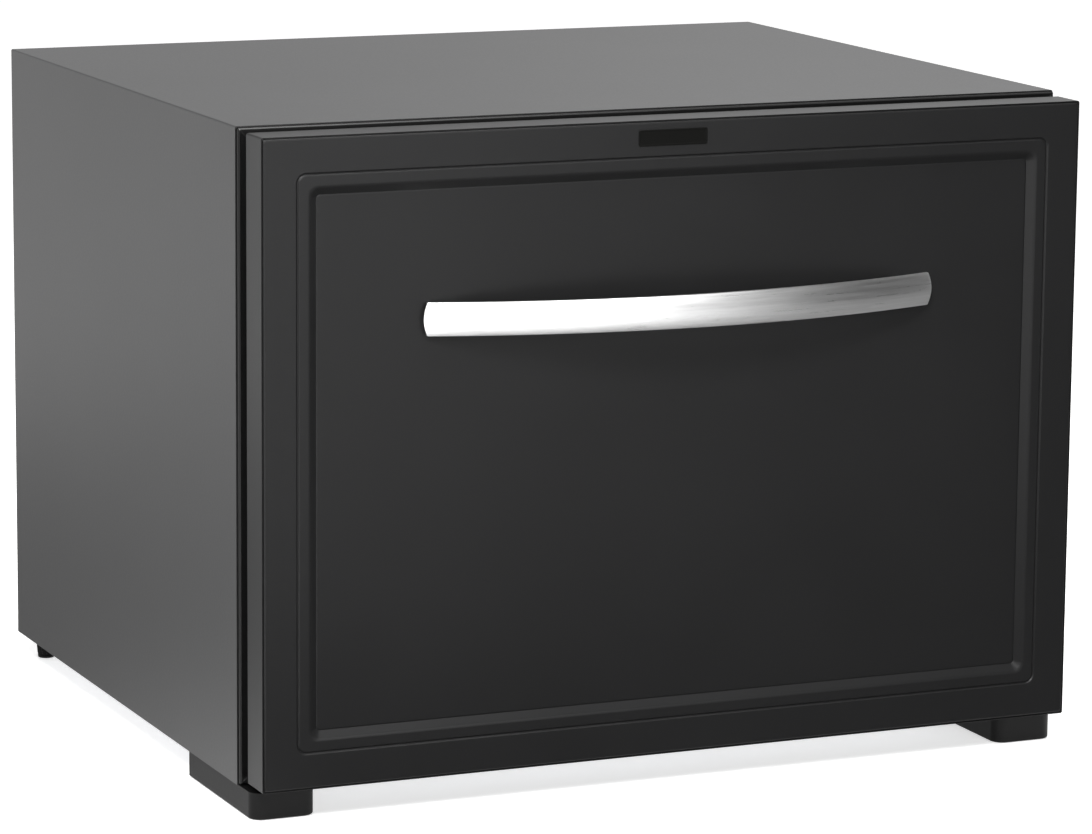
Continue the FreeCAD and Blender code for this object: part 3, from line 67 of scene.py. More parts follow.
class Wire:
    """One output of a node, which Python's operators turn into further Math nodes."""

    def __init__(self, board: "Board", socket: bpy.types.NodeSocket) -> None:
        """Keep the socket and the board that its node lies on."""
        self.board = board
        self.socket = socket

    def maths(self, operation: str, *terms: "Wire | float") -> "Wire":
        """The result of one Math node, from its inputs in order."""
        return self.board.put("ShaderNodeMath", {"operation": operation}, dict(enumerate(terms)))

    def __add__(self, other: "Wire | float") -> "Wire":
        """This value plus another."""
        return self.maths("ADD", self, other)

    def __radd__(self, other: float) -> "Wire":
        """A number plus this value."""
        return self.maths("ADD", other, self)

    def __sub__(self, other: "Wire | float") -> "Wire":
        """This value less another."""
        return self.maths("SUBTRACT", self, other)

    def __rsub__(self, other: float) -> "Wire":
        """A number less this value."""
        return self.maths("SUBTRACT", other, self)

    def __mul__(self, other: "Wire | float") -> "Wire":
        """This value times another."""
        return self.maths("MULTIPLY", self, other)

    def __rmul__(self, other: float) -> "Wire":
        """A number times this value."""
        return self.maths("MULTIPLY", other, self)

    def __truediv__(self, other: "Wire | float") -> "Wire":
        """This value over another."""
        return self.maths("DIVIDE", self, other)

    def __pow__(self, power: float) -> "Wire":
        """This value to a power."""
        return self.maths("POWER", self, power)

    def at_least(self, other: "Wire | float") -> "Wire":
        """The greater of this value and another."""
        return self.maths("MAXIMUM", self, other)

    def at_most(self, other: "Wire | float") -> "Wire":
        """The lesser of this value and another."""
        return self.maths("MINIMUM", self, other)

    def scaled(self, sizes: Sequence[float]) -> "Wire":
        """This vector, multiplied by three numbers."""
        return self.board.put("ShaderNodeVectorMath", {"operation": "MULTIPLY"}, {0: self, 1: tuple(sizes)})


class Board:
    """A node tree that is laid out in code."""

    def __init__(self, tree: bpy.types.NodeTree) -> None:
        """Keep the tree."""
        self.tree = tree

    @classmethod
    def on(cls, owner: bpy.types.Material | bpy.types.World) -> "Board":
        """An empty board.

        Args:
            owner: The material or the world whose nodes it holds.

        Returns:
            The board.
        """
        owner.use_nodes = True
        owner.node_tree.nodes.clear()
        return cls(owner.node_tree)

    def put(self, kind: str, settings: dict | None = None, sockets: dict | None = None,
            out: str | int = 0) -> Wire | None:
        """Add a node of any kind.

        Args:
            kind: The node's type.
            settings: Its properties by name, which are set first.
            sockets: Values or wires for its inputs, by name or number.
            out: The output to carry on from.

        Returns:
            That output, or nothing for a node that has none.
        """
        node = self.tree.nodes.new(kind)
        for name, setting in (settings or {}).items():
            setattr(node, name, setting)
        for name, term in (sockets or {}).items():
            if isinstance(term, Wire):
                self.tree.links.new(term.socket, node.inputs[name])
            else:
                node.inputs[name].default_value = term
        return Wire(self, node.outputs[out]) if len(node.outputs) else None

    def noise(self, place: Wire, scale: float, detail: float = 2.0, roughness: float = 0.5) -> Wire:
        """Smooth noise from 0 to 1, with a feature every 1 / scale metres."""
        return self.put("ShaderNodeTexNoise", None,
                        {"Vector": place, "Scale": scale, "Detail": detail, "Roughness": roughness})

    def cells(self, place: Wire, scale: float, out: str = "Distance") -> Wire:
        """Distance to the nearest cell's centre, or another output of the cells."""
        return self.put("ShaderNodeTexVoronoi", {"feature": "F1"}, {"Vector": place, "Scale": scale}, out)

    def between(self, share: Wire, first: Colour, second: Colour) -> Wire:
        """A colour between two, by a share from 0 to 1."""
        return self.put("ShaderNodeMix", {"data_type": "RGBA"}, {0: share, 6: (*first, 1.0), 7: (*second, 1.0)}, 2)


# ------------------------------------------------------------------ finishes

Patterns = tuple[Wire, Wire, Wire]


@dataclass(frozen=True)
class Finish:
    """A plain surface; the other finishes have patterns of their own.

    Over the surface its tone goes up and down by the spread, which is a share of its colour, and its roughness
    changes by the swing in all. Its relief is depth millimetres high.
    """

    name: str
    colour: Colour
    roughness: float = 0.4
    metallic: float = 0.0
    shine: float = 0.5
    spread: float = 0.06
    swing: float = 0.06
    depth: float = 0.01

    @property
    def label(self) -> str:
        """The name of its material, apart from the plain one that the construction brings."""
        return self.name + "_finish"

    def shades(self) -> tuple[Colour, Colour]:
        """The colour made darker and lighter by the spread."""
        return tuple(tuple(part * (1 + side * self.spread) for part in self.colour) for side in (-1, 1))

    def patterns(self, board: Board, place: Wire) -> Patterns:
        """What tone, roughness and relief follow from a point in metres: slow clouds, twice, and a fine grain."""
        cloud = board.noise(place, 30, 3)
        return cloud, cloud, board.noise(place, 900)

    def extras(self) -> dict[str, float]:
        """Further sockets of the shader, which are the same all over."""
        return {}

    def make(self) -> bpy.types.Material:
        """Build the material.

        Returns:
            The material, with its patterns in the object's own coordinates.
        """
        material = bpy.data.materials.new(self.label)
        board = Board.on(material)
        tone, patches, relief = self.patterns(board, board.put("ShaderNodeTexCoord", out="Object"))
        shader = board.put("ShaderNodeBsdfPrincipled", None, {
            "Base Color": board.between(tone, *self.shades()),
            "Roughness": self.roughness + self.swing * (patches - 0.5) if self.swing else self.roughness,
            "Metallic": self.metallic,
            "Specular IOR Level": self.shine,
            "Normal": board.put("ShaderNodeBump", None,
                                {"Height": relief, "Strength": 1.0, "Distance": self.depth * MM}),
            **self.extras()})
        board.put("ShaderNodeOutputMaterial", None, {"Surface": shader})
        return material


@dataclass(frozen=True)
class PowderCoat(Finish):
    """Baked powder on steel: a fine orange peel, with a faint fleck in its tone."""

    spread: float = 0.3
    swing: float = 0.08
    depth: float = 0.035
    cloud: float = 7.0
    fleck: float = 650.0
    peel: float = 420.0

    def patterns(self, board: Board, place: Wire) -> Patterns:
        """Slow clouds with the fleck, the fleck alone, and the orange peel."""
        fleck = board.noise(place, self.fleck, 2, 0.6)
        return 0.55 * board.noise(place, self.cloud, 3) + 0.45 * fleck, fleck, board.noise(place, self.peel)


@dataclass(frozen=True)
class Moulding(Finish):
    """Moulded plastic with a fine spark-eroded grain."""

    spread: float = 0.25
    swing: float = 0.08
    depth: float = 0.02
    cloud: float = 9.0
    pebble: float = 1400.0

    def patterns(self, board: Board, place: Wire) -> Patterns:
        """Slow clouds with the pebbles of the grain, the clouds alone, and the pebbles alone."""
        cloud, pebble = board.noise(place, self.cloud, 3), board.noise(place, self.pebble, 3, 0.6)
        return 0.6 * cloud + 0.4 * pebble, cloud, pebble


@dataclass(frozen=True)
class Brushed(Finish):
    """Metal with a grain drawn one way: run gives how often the grain changes along X, Y and Z, per metre."""

    spread: float = 0.1
    swing: float = 0.22
    depth: float = 0.006
    run: tuple[float, float, float] = (22.0, 40.0, 2600.0)
    coarse: float = 0.4

    def patterns(self, board: Board, place: Wire) -> Patterns:
        """Fine streaks over coarser ones, for all three.

        Args:
            board: The material's tree.
            place: The point on the surface, in metres.

        Returns:
            What tone, roughness and relief follow.
        """
        fine = board.noise(place.scaled(self.run), 1, 3, 0.7)
        coarse = board.noise(place.scaled([part * self.coarse for part in self.run]), 1)
        streak = 0.5 * fine + 0.5 * coarse
        return streak, streak, streak


@dataclass(frozen=True)
class ZincPlate(Finish):
    """Zinc-coated sheet, with soft spangles and faint rolling lines."""

    spread: float = 0.08
    swing: float = 0.07
    depth: float = 0.0012
    spangle: float = 160.0
    rolling: tuple[float, float, float] = (60.0, 60.0, 700.0)

    def patterns(self, board: Board, place: Wire) -> Patterns:
        """A flat tone for each spangle with fine lines along the sheet, the spangles alone, and the lines.

        Args:
            board: The material's tree.
            place: The point on the surface, in metres.

        Returns:
            What tone, roughness and relief follow.
        """
        spangle = board.cells(place, self.spangle, "Color")
        shade = board.put("ShaderNodeSeparateColor", None, {"Color": spangle})
        lines = board.noise(place.scaled(self.rolling), 1)
        return 0.5 * shade + 0.5 * lines, shade, lines


@dataclass(frozen=True)
class FoamCells(Finish):
    """Rigid foam with small open cells in its cut skin."""

    spread: float = 0.2
    swing: float = 0.0
    depth: float = 0.25
    cell: float = 900.0
    lump: float = 60.0

    def patterns(self, board: Board, place: Wire) -> Patterns:
        """Cells with darker hollows over broad lumps; its roughness is the same all over."""
        cell = board.cells(place, self.cell)
        return 0.5 * cell + 0.5 * board.noise(place, self.lump, 3), cell, cell


@dataclass(frozen=True)
class Rubber(Finish):
    """Extruded rubber, dull, with a faint bloom."""

    spread: float = 0.25
    swing: float = 0.15
    depth: float = 0.008
    bloom: float = 45.0
    grain: float = 1800.0

    def patterns(self, board: Board, place: Wire) -> Patterns:
        """A bloom in patches, twice, and a fine grain."""
        bloom = board.noise(place, self.bloom, 3)
        return bloom, bloom, board.noise(place, self.grain)


@dataclass(frozen=True)
class ClearPlastic(Finish):
    """Clear plastic that lets light through, slightly frosted."""

    spread: float = 0.02
    swing: float = 0.08
    depth: float = 0.004
    flow: float = 80.0

    def patterns(self, board: Board, place: Wire) -> Patterns:
        """A faint flow in the moulding, for all three."""
        flow = board.noise(place, self.flow)
        return flow, flow, flow

    def extras(self) -> dict[str, float]:
        """Light passes through."""
        return {"Transmission Weight": 0.85, "IOR": 1.49}


class Finishes(Enum):
    """Every finish of the cabinet, each made once."""

    SHELL = PowderCoat("shell_paint", (0.019, 0.019, 0.0195), 0.44)
    COVER = PowderCoat("cover_paint", (0.024, 0.024, 0.025), 0.5, depth=0.05)
    FRONT = Moulding("front_plastic", (0.0056, 0.0056, 0.0058), 0.4, shine=0.24, depth=0.014)
    FRAME = Moulding("frame_plastic", (0.0025, 0.0025, 0.0025), 0.3, shine=0.22, depth=0.01)
    FOOT = Moulding("foot_plastic", (0.003, 0.003, 0.003), 0.5, shine=0.15, depth=0.03)
    HANDLE = Brushed("handle_metal", (0.86, 0.86, 0.86), 0.3, 1.0, spread=0.22, depth=0.012, run=(34.0, 40.0, 1700.0))
    BADGE = Moulding("badge_black", (0.0035, 0.0035, 0.0032), 0.3, shine=0.06, depth=0.003)
    GASKET = Rubber("gasket_rubber", (0.028, 0.028, 0.029), 0.6)
    LINER = Moulding("liner_plastic", (0.62, 0.63, 0.64), 0.38, depth=0.015)
    BIN = Moulding("bin_plastic", (0.5, 0.51, 0.52), 0.42)
    DIVIDER = Moulding("divider_plastic", (0.42, 0.43, 0.44), 0.4)
    FOAM = FoamCells("foam", (0.62, 0.5, 0.27), 0.85)
    BASE = ZincPlate("base_zinc", (0.52, 0.53, 0.55), 0.42, 0.9)
    SLIDE = ZincPlate("slide_zinc", (0.6, 0.61, 0.63), 0.32, 0.95, spangle=400.0)
    CAGE = Brushed("cage_steel", (0.5, 0.5, 0.51), 0.35, 1.0, run=(2000.0, 40.0, 2000.0))
    BALL = Brushed("ball_steel", (0.72, 0.72, 0.73), 0.12, 1.0, spread=0.04, depth=0.0005, run=(900.0, 900.0, 900.0))
    SCREW = Brushed("screw_steel", (0.55, 0.55, 0.56), 0.3, 1.0, depth=0.002, run=(900.0, 900.0, 900.0))
    SINK = Brushed("heat_aluminium", (0.68, 0.69, 0.7), 0.36, 1.0, run=(1800.0, 1800.0, 30.0))
    CERAMIC = Moulding("module_ceramic", (0.8, 0.8, 0.78), 0.55, depth=0.01)
    FAN = Moulding("fan_plastic", (0.016, 0.016, 0.017), 0.4)
    SUPPLY = Moulding("supply_plastic", (0.022, 0.022, 0.023), 0.48, depth=0.03)
    INLET = Moulding("inlet_plastic", (0.018, 0.018, 0.018), 0.4, depth=0.015)
    PIN = Brushed("pin_brass", (0.66, 0.47, 0.2), 0.26, 1.0, depth=0.002, run=(1500.0, 40.0, 1500.0))
    LENS = ClearPlastic("lens_clear", (0.94, 0.95, 0.96), 0.16)
    KNOB = Moulding("knob_plastic", (0.55, 0.56, 0.57), 0.36, depth=0.01)
    SWITCH = Moulding("switch_plastic", (0.6, 0.6, 0.58), 0.42, depth=0.01)
    MAGNET = Moulding("magnet_iron", (0.03, 0.029, 0.028), 0.6, depth=0.03)
    MARK = Moulding("dial_print", (0.05, 0.05, 0.055), 0.5, depth=0.002)
    PHOSPHOR = Finish("lamp_phosphor", (0.85, 0.72, 0.2), 0.4)

    def material(self) -> bpy.types.Material:
        """The finish's material, built the first time that it is asked for."""
        return bpy.data.materials.get(self.value.label) or self.value.make()


def dress(node: str, finish: Finishes) -> None:
    """Give a node of the construction its finish.

    Args:
        node: The node's name.
        finish: The finish for all of it.
    """
    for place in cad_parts[node].material_slots:
        place.material = finish.material()
    LOG.info("dressed %s in %s", node, finish.value.name)


# ------------------------------------------------------------------ shapes

class Plane(Enum):
    """The plane that a loop lies in, as the places of its across, up and depth values in X, Y and Z."""

    FRONT = (0, 2, 1)
    FLOOR = (0, 1, 2)

    def point(self, across: float, up: float, depth: float) -> Vector:
        """The point with those values."""
        values = dict(zip(self.value, (across, up, depth)))
        return Vector([values[axis] for axis in range(3)])


@dataclass(frozen=True)
class Corner:
    """One corner of a profile: how far it is in from the outline, its depth, and the radius that rounds it."""

    inset: float
    depth: float
    radius: float = 0.0


def rounded(profile: Sequence[Corner], closed: bool, steps: int) -> list[Spot]:
    """Round a profile's corners.

    Args:
        profile: The corners in order.
        closed: Whether the last corner joins the first.
        steps: How many steps round each corner.

    Returns:
        The points of the rounded profile, as inset and depth.
    """
    count = len(profile)
    points: list[Spot] = []
    for number, corner in enumerate(profile):
        here = Vector((corner.inset, corner.depth))
        at_end = not closed and number in (0, count - 1)
        if corner.radius <= 0 or at_end:
            points.append(tuple(here))
            continue
        ends = []
        for other in (profile[number - 1], profile[(number + 1) % count]):
            arm = Vector((other.inset, other.depth)) - here
            ends.append(arm.normalized() * min(corner.radius, arm.length * 0.49))
        for step in range(steps + 1):
            turn = math.pi / 2 * step / steps
            points.append(tuple(here + ends[0] * (1 - math.sin(turn)) + ends[1] * (1 - math.cos(turn))))
    return points


@dataclass(frozen=True)
class Outline:
    """A rounded rectangle, from which a profile's rings are set in."""

    plane: Plane
    centre: Spot
    half: Spot
    corners: tuple[Spot, ...] = ((0.0, 0.0),)
    steps: int = 8

    def corner_at(self, inset: float) -> float:
        """The corner radius at an inset.

        Args:
            inset: How far in from the outline.

        Returns:
            The radius between the two nearest of the outline's own.
        """
        stops = self.corners
        if inset <= stops[0][0]:
            return stops[0][1]
        for (low, first), (high, second) in zip(stops, stops[1:]):
            if inset <= high:
                return first + (second - first) * (inset - low) / (high - low)
        return stops[-1][1]

    def ring(self, inset: float, depth: float) -> list[Vector]:
        """One closed loop.

        Args:
            inset: How far in from the outline.
            depth: Its depth behind or above the plane.

        Returns:
            Its points.
        """
        across, up = self.half[0] - inset, self.half[1] - inset
        reach = min(self.corner_at(inset), across, up) if self.steps else 0.0
        loop = []
        for number, (side, level) in enumerate(((1, -1), (1, 1), (-1, 1), (-1, -1))):
            for step in range(self.steps + 1):
                turn = math.pi / 2 * (number - 1 + (step / self.steps if self.steps else 0.5))
                loop.append(self.plane.point(
                    self.centre[0] + side * (across - reach) + reach * math.cos(turn),
                    self.centre[1] + level * (up - reach) + reach * math.sin(turn), depth))
        return loop

    def rings(self, profile: Sequence[Corner], closed: bool = False, steps: int = 4) -> list[list[Vector]]:
        """Every loop of a profile that runs round this outline."""
        return [self.ring(*point) for point in rounded(profile, closed, steps)]


def circle(plane: Plane, centre: Spot, radius: float, depth: float, count: int) -> list[Vector]:
    """A round loop of some points."""
    return [plane.point(centre[0] + radius * math.cos(math.tau * step / count),
                        centre[1] + radius * math.sin(math.tau * step / count), depth) for step in range(count)]


def add_object(name: str, data: bpy.types.ID) -> bpy.types.Object:
    """Put an object into the scene, at the origin.

    Args:
        name: Its name.
        data: Its mesh, text, light or camera.

    Returns:
        The object.
    """
    made = bpy.data.objects.new(name, data)
    bpy.context.scene.collection.objects.link(made)
    return made


class Stock:
    """A mesh that is being made, in millimetres."""

    def __init__(self) -> None:
        """Start with nothing."""
        self.mesh = bmesh.new()

    def skin(self, loops: Sequence[Sequence[Vector]], closed: bool = False) -> "Stock":
        """Join loops of equal length with faces, and close the two ends unless the last loop joins the first.

        Args:
            loops: The loops in order.
            closed: Whether the last loop joins the first.

        Returns:
            This stock.
        """
        rows = [[self.mesh.verts.new(point) for point in loop] for loop in loops]
        made = []
        pairs = list(zip(rows, rows[1:])) + ([(rows[-1], rows[0])] if closed else [])
        for first, second in pairs:
            for number in range(len(first)):
                after = (number + 1) % len(first)
                made.append(self.mesh.faces.new((first[number], first[after], second[after], second[number])))
        if not closed:
            made += [self.mesh.faces.new(rows[0]), self.mesh.faces.new(rows[-1])]
        bmesh.ops.recalc_face_normals(self.mesh, faces=made)
        return self

    def block(self, low: Sequence[float], high: Sequence[float], bevel: float = 0.0, segments: int = 2) -> "Stock":
        """Add a box, with its edges rounded.

        Args:
            low: Its lowest corner.
            high: Its highest corner.
            bevel: How far the rounding reaches.
            segments: How many faces across the rounding.

        Returns:
            This stock.
        """
        size = [top - bottom for bottom, top in zip(low, high)]
        centre = [(top + bottom) / 2 for bottom, top in zip(low, high)]
        matrix = Matrix.Translation(centre) @ Matrix.Diagonal((*size, 1.0))
        verts = bmesh.ops.create_cube(self.mesh, size=1.0, matrix=matrix)["verts"]
        if bevel:
            edges = {edge for vert in verts for edge in vert.link_edges}
            bmesh.ops.bevel(self.mesh, geom=list(edges), offset=bevel, segments=segments, affect="EDGES",
                            profile=0.5)
        return self

    def lathe(self, profile: Sequence[Spot], plane: Plane, centre: Spot, count: int = 48) -> "Stock":
        """Add a turned shape, from the radius and the depth of each ring from one end to the other."""
        return self.skin([circle(plane, centre, max(radius, POLE), depth, count) for radius, depth in profile])

    def object(self, name: str, finish: Finishes | None = None) -> bpy.types.Object:
        """Turn the stock into an object in metres, smooth but for its sharp edges.

        Args:
            name: The object's name.
            finish: Its finish.

        Returns:
            The object, at the origin.
        """
        bmesh.ops.transform(self.mesh, matrix=Matrix.Scale(MM, 4), verts=self.mesh.verts)
        mesh = bpy.data.meshes.new(name)
        self.mesh.to_mesh(mesh)
        self.mesh.free()
        for face in mesh.polygons:
            face.use_smooth = True
        mesh.set_sharp_from_angle(angle=SHARP_ANGLE)
        if finish:
            mesh.materials.append(finish.material())
        return add_object(name, mesh)


def plain(piece: bpy.types.Object, name: str) -> bpy.types.Object:
    """Work out a piece's modifiers into a plain mesh.

    Args:
        piece: The piece with its modifiers, which is removed.
        name: The name of the result.

    Returns:
        The plain object, at the origin.
    """
    bpy.context.view_layer.update()
    graph = bpy.context.evaluated_depsgraph_get()
    mesh = bpy.data.meshes.new_from_object(piece.evaluated_get(graph), depsgraph=graph)
    bpy.data.objects.remove(piece)
    mesh.name = name
    return add_object(name, mesh)


def even_normals(piece: bpy.types.Object) -> bpy.types.Object:
    """Let a piece's broad faces set its shading, so that they look flat beside small roundings.

    Args:
        piece: The piece, which is used up.

    Returns:
        The piece with its new normals.
    """
    modifier = piece.modifiers.new("even", "WEIGHTED_NORMAL")
    modifier.keep_sharp = True
    modifier.weight = 100
    return plain(piece, piece.name)


def soften(node: str, finish: Finishes, width: float, body: str = "cabinet") -> None:
    """Set a copy of a node in its place, with its hard edges rounded as a press brake or a mould leaves them.

    Args:
        node: The node.
        finish: Its finish, which has the name of its material slot.
        width: How far the rounding reaches, in millimetres.
        body: The body that carries it.
    """
    stock = Stock()
    stock.mesh.from_mesh(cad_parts[node].data)
    work = stock.mesh
    bmesh.ops.transform(work, matrix=Matrix.Scale(1 / MM, 4), verts=work.verts)
    bmesh.ops.remove_doubles(work, verts=work.verts, dist=WELD)
    bmesh.ops.dissolve_limit(work, angle_limit=FLAT_ANGLE, verts=work.verts, edges=work.edges)
    hard = [edge for edge in work.edges if len(edge.link_faces) == 2 and edge.calc_face_angle() > SHARP_ANGLE
            and edge.calc_length() > SHORT_EDGE]
    bmesh.ops.bevel(work, geom=hard, offset=width, segments=2, affect="EDGES", profile=0.5, clamp_overlap=True)
    bmesh.ops.triangulate(work, faces=[face for face in work.faces if len(face.verts) > 4])
    piece = stock.object(node + "_eased", finish)
    install(even_normals(piece), body, finish.value.name, node)


def install(piece: bpy.types.Object, body: str, slot: str, *nodes: str) -> bpy.types.Object:
    """Set a finished piece on the body that carries it.

    Args:
        piece: The piece, in place.
        body: The body that it moves with.
        slot: The material slot of the record that it takes its finish from; it is not used.
        nodes: The nodes that it stands for.

    Returns:
        The piece.
    """
    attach(piece, body)
    if nodes:
        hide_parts(*nodes)
    LOG.info("made %s: %d faces on %s", piece.name, len(piece.data.polygons), body)
    return piece


# ------------------------------------------------------------------ shapes that repeat

class Recipe:
    """A Geometry Nodes tree that copies a pattern object, with named inputs for its numbers."""

    def __init__(self, name: str, inputs: dict[str, str]) -> None:
        """Open the tree.

        Args:
            name: The tree's name.
            inputs: The kind of each further input, by name.
        """
        self.tree = bpy.data.node_groups.new(name, "GeometryNodeTree")
        self.board = Board(self.tree)
        self.keys: dict[str, str] = {}
        sockets = {"Geometry": "NodeSocketGeometry", "Pattern": "NodeSocketObject", "Finish": "NodeSocketMaterial"}
        for label, kind in {**sockets, **inputs}.items():
            socket = self.tree.interface.new_socket(label, in_out="INPUT", socket_type=kind)
            self.keys[label] = socket.identifier
        self.tree.interface.new_socket("Geometry", in_out="OUTPUT", socket_type="NodeSocketGeometry")
        self.entry = self.tree.nodes.new("NodeGroupInput")
        self.shape = self.board.put("GeometryNodeObjectInfo", None, {"Object": self.port("Pattern")}, out="Geometry")

    def port(self, label: str) -> Wire:
        """One of the tree's inputs."""
        return Wire(self.board, self.entry.outputs[label])

    def close(self, points: Wire, rotation: Wire, keep: bool) -> "Recipe":
        """Copy the pattern to the points and end the tree.

        Args:
            points: Where the copies go.
            rotation: How each is turned.
            keep: Whether the mesh that the tree works on stays beside the copies.

        Returns:
            This recipe.
        """
        copies = self.board.put("GeometryNodeInstanceOnPoints", None,
                                {"Points": points, "Instance": self.shape, "Rotation": rotation})
        solid = self.board.put("GeometryNodeRealizeInstances", None, {"Geometry": copies})
        if keep:
            join = self.tree.nodes.new("GeometryNodeJoinGeometry")
            self.tree.links.new(self.port("Geometry").socket, join.inputs[0])
            self.tree.links.new(solid.socket, join.inputs[0])
            solid = Wire(self.board, join.outputs[0])
        painted = self.board.put("GeometryNodeSetMaterial", None,
                                 {"Geometry": solid, "Material": self.port("Finish")})
        self.board.put("NodeGroupOutput", None, {"Geometry": painted})
        return self

    def run(self, name: str, stock: bpy.types.Object, pattern: bpy.types.Object, finish: Finishes,
            **values: object) -> bpy.types.Object:
        """Make a piece.

        Args:
            name: The piece's name.
            stock: The mesh that the tree works on, which is used up.
            pattern: The object that is copied, which is used up.
            finish: The piece's finish.
            values: The tree's own inputs.

        Returns:
            The piece as a plain mesh.
        """
        modifier = stock.modifiers.new(name, "NODES")
        modifier.node_group = self.tree
        given = {"Pattern": pattern, "Finish": finish.material(), **values}
        for label, given_value in given.items():
            modifier[self.keys[label]] = given_value
        piece = plain(stock, name)
        bpy.data.objects.remove(pattern)
        return piece


def spots_recipe() -> Recipe:
    """Copies on the stock's points, each along the point's own direction and turned by its own angle.

    Returns:
        The recipe.
    """
    recipe = Recipe("on_spots", {})
    board = recipe.board
    way = board.put("GeometryNodeInputNamedAttribute", {"data_type": "FLOAT_VECTOR"}, {"Name": "way"})
    spin = board.put("GeometryNodeInputNamedAttribute", {"data_type": "FLOAT"}, {"Name": "spin"})
    aligned = board.put("FunctionNodeAlignRotationToVector", {"axis": "Z"}, {"Vector": way})
    turned = board.put("FunctionNodeRotateRotation", {"rotation_space": "LOCAL"}, {
        "Rotation": aligned,
        "Rotate By": board.put("FunctionNodeAxisAngleToRotation", None, {"Axis": (0, 0, 1), "Angle": spin})})
    return recipe.close(recipe.port("Geometry"), turned, keep=False)


def round_recipe() -> Recipe:
    """Copies turned about an axis through a centre, beside the stock.

    Returns:
        The recipe.
    """
    recipe = Recipe("round_axis", {"Count": "NodeSocketInt", "Centre": "NodeSocketVector",
                                   "Axis": "NodeSocketVector"})
    board = recipe.board
    points = board.put("GeometryNodeMeshLine", {"mode": "OFFSET"}, {
        "Count": recipe.port("Count"), "Start Location": recipe.port("Centre"), "Offset": (0, 0, 0)})
    angle = board.put("GeometryNodeInputIndex") / recipe.port("Count") * math.tau
    turn = board.put("FunctionNodeAxisAngleToRotation", None, {"Axis": recipe.port("Axis"), "Angle": angle})
    return recipe.close(points, turn, keep=True)


def row_recipe() -> Recipe:
    """Copies in a straight row with an even pitch, beside the stock.

    Returns:
        The recipe.
    """
    recipe = Recipe("in_row", {"Count": "NodeSocketInt", "Pitch": "NodeSocketVector"})
    board = recipe.board
    points = board.put("GeometryNodeMeshLine", {"mode": "OFFSET"}, {
        "Count": recipe.port("Count"), "Start Location": (0, 0, 0), "Offset": recipe.port("Pitch")})
    return recipe.close(points, board.put("FunctionNodeEulerToRotation"), keep=True)


class Recipes:
    """The trees, each built the first time that it is used."""

    made: dict[str, Recipe] = {}
    makers: dict[str, Callable[[], Recipe]] = {"spots": spots_recipe, "round": round_recipe, "row": row_recipe}

    @classmethod
    def get(cls, name: str) -> Recipe:
        """One of the recipes.

        Args:
            name: Its name among the makers.

        Returns:
            The recipe.
        """
        if name not in cls.made:
            cls.made[name] = cls.makers[name]()
        return cls.made[name]


def spot_object(spots: Sequence[Vector], ways: Sequence[Vector], seed: int) -> bpy.types.Object:
    """Loose points that carry a direction and a turn.

    Args:
        spots: The points, in metres.
        ways: Their directions.
        seed: The seed of their turns.

    Returns:
        The points' object.
    """
    mesh = bpy.data.meshes.new("spots")
    mesh.from_pydata([tuple(spot) for spot in spots], [], [])
    way = mesh.attributes.new("way", "FLOAT_VECTOR", "POINT")
    way.data.foreach_set("vector", [part for one in ways for part in one])
    turns = random.Random(seed)
    spin = mesh.attributes.new("spin", "FLOAT", "POINT")
    spin.data.foreach_set("value", [turns.uniform(0, math.tau) for _ in spots])
    return add_object("spots", mesh)


# ------------------------------------------------------------------ screws

def solids_of(node: str) -> list[list[Vector]]:
    """The separate solids of a node.

    Args:
        node: The node's name.

    Returns:
        The points of each solid, in metres, in a fixed order.
    """
    work = bmesh.new()
    work.from_mesh(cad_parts[node].data)
    bmesh.ops.remove_doubles(work, verts=work.verts, dist=1e-6)
    left = set(work.verts)
    solids = []
    for start in list(work.verts):
        if start not in left:
            continue
        left.discard(start)
        found, edge = [start], [start]
        while edge:
            for link in edge.pop().link_edges:
                for vert in link.verts:
                    if vert in left:
                        left.discard(vert)
                        found.append(vert)
                        edge.append(vert)
        solids.append([vert.co.copy() for vert in found])
    work.free()
    return sorted(solids, key=lambda points: tuple(round(part, 5) for part in sum(points, Vector()) / len(points)))


class Head(Enum):
    """How a screw's head is shaped."""

    PAN = "pan"
    SUNK = "sunk"


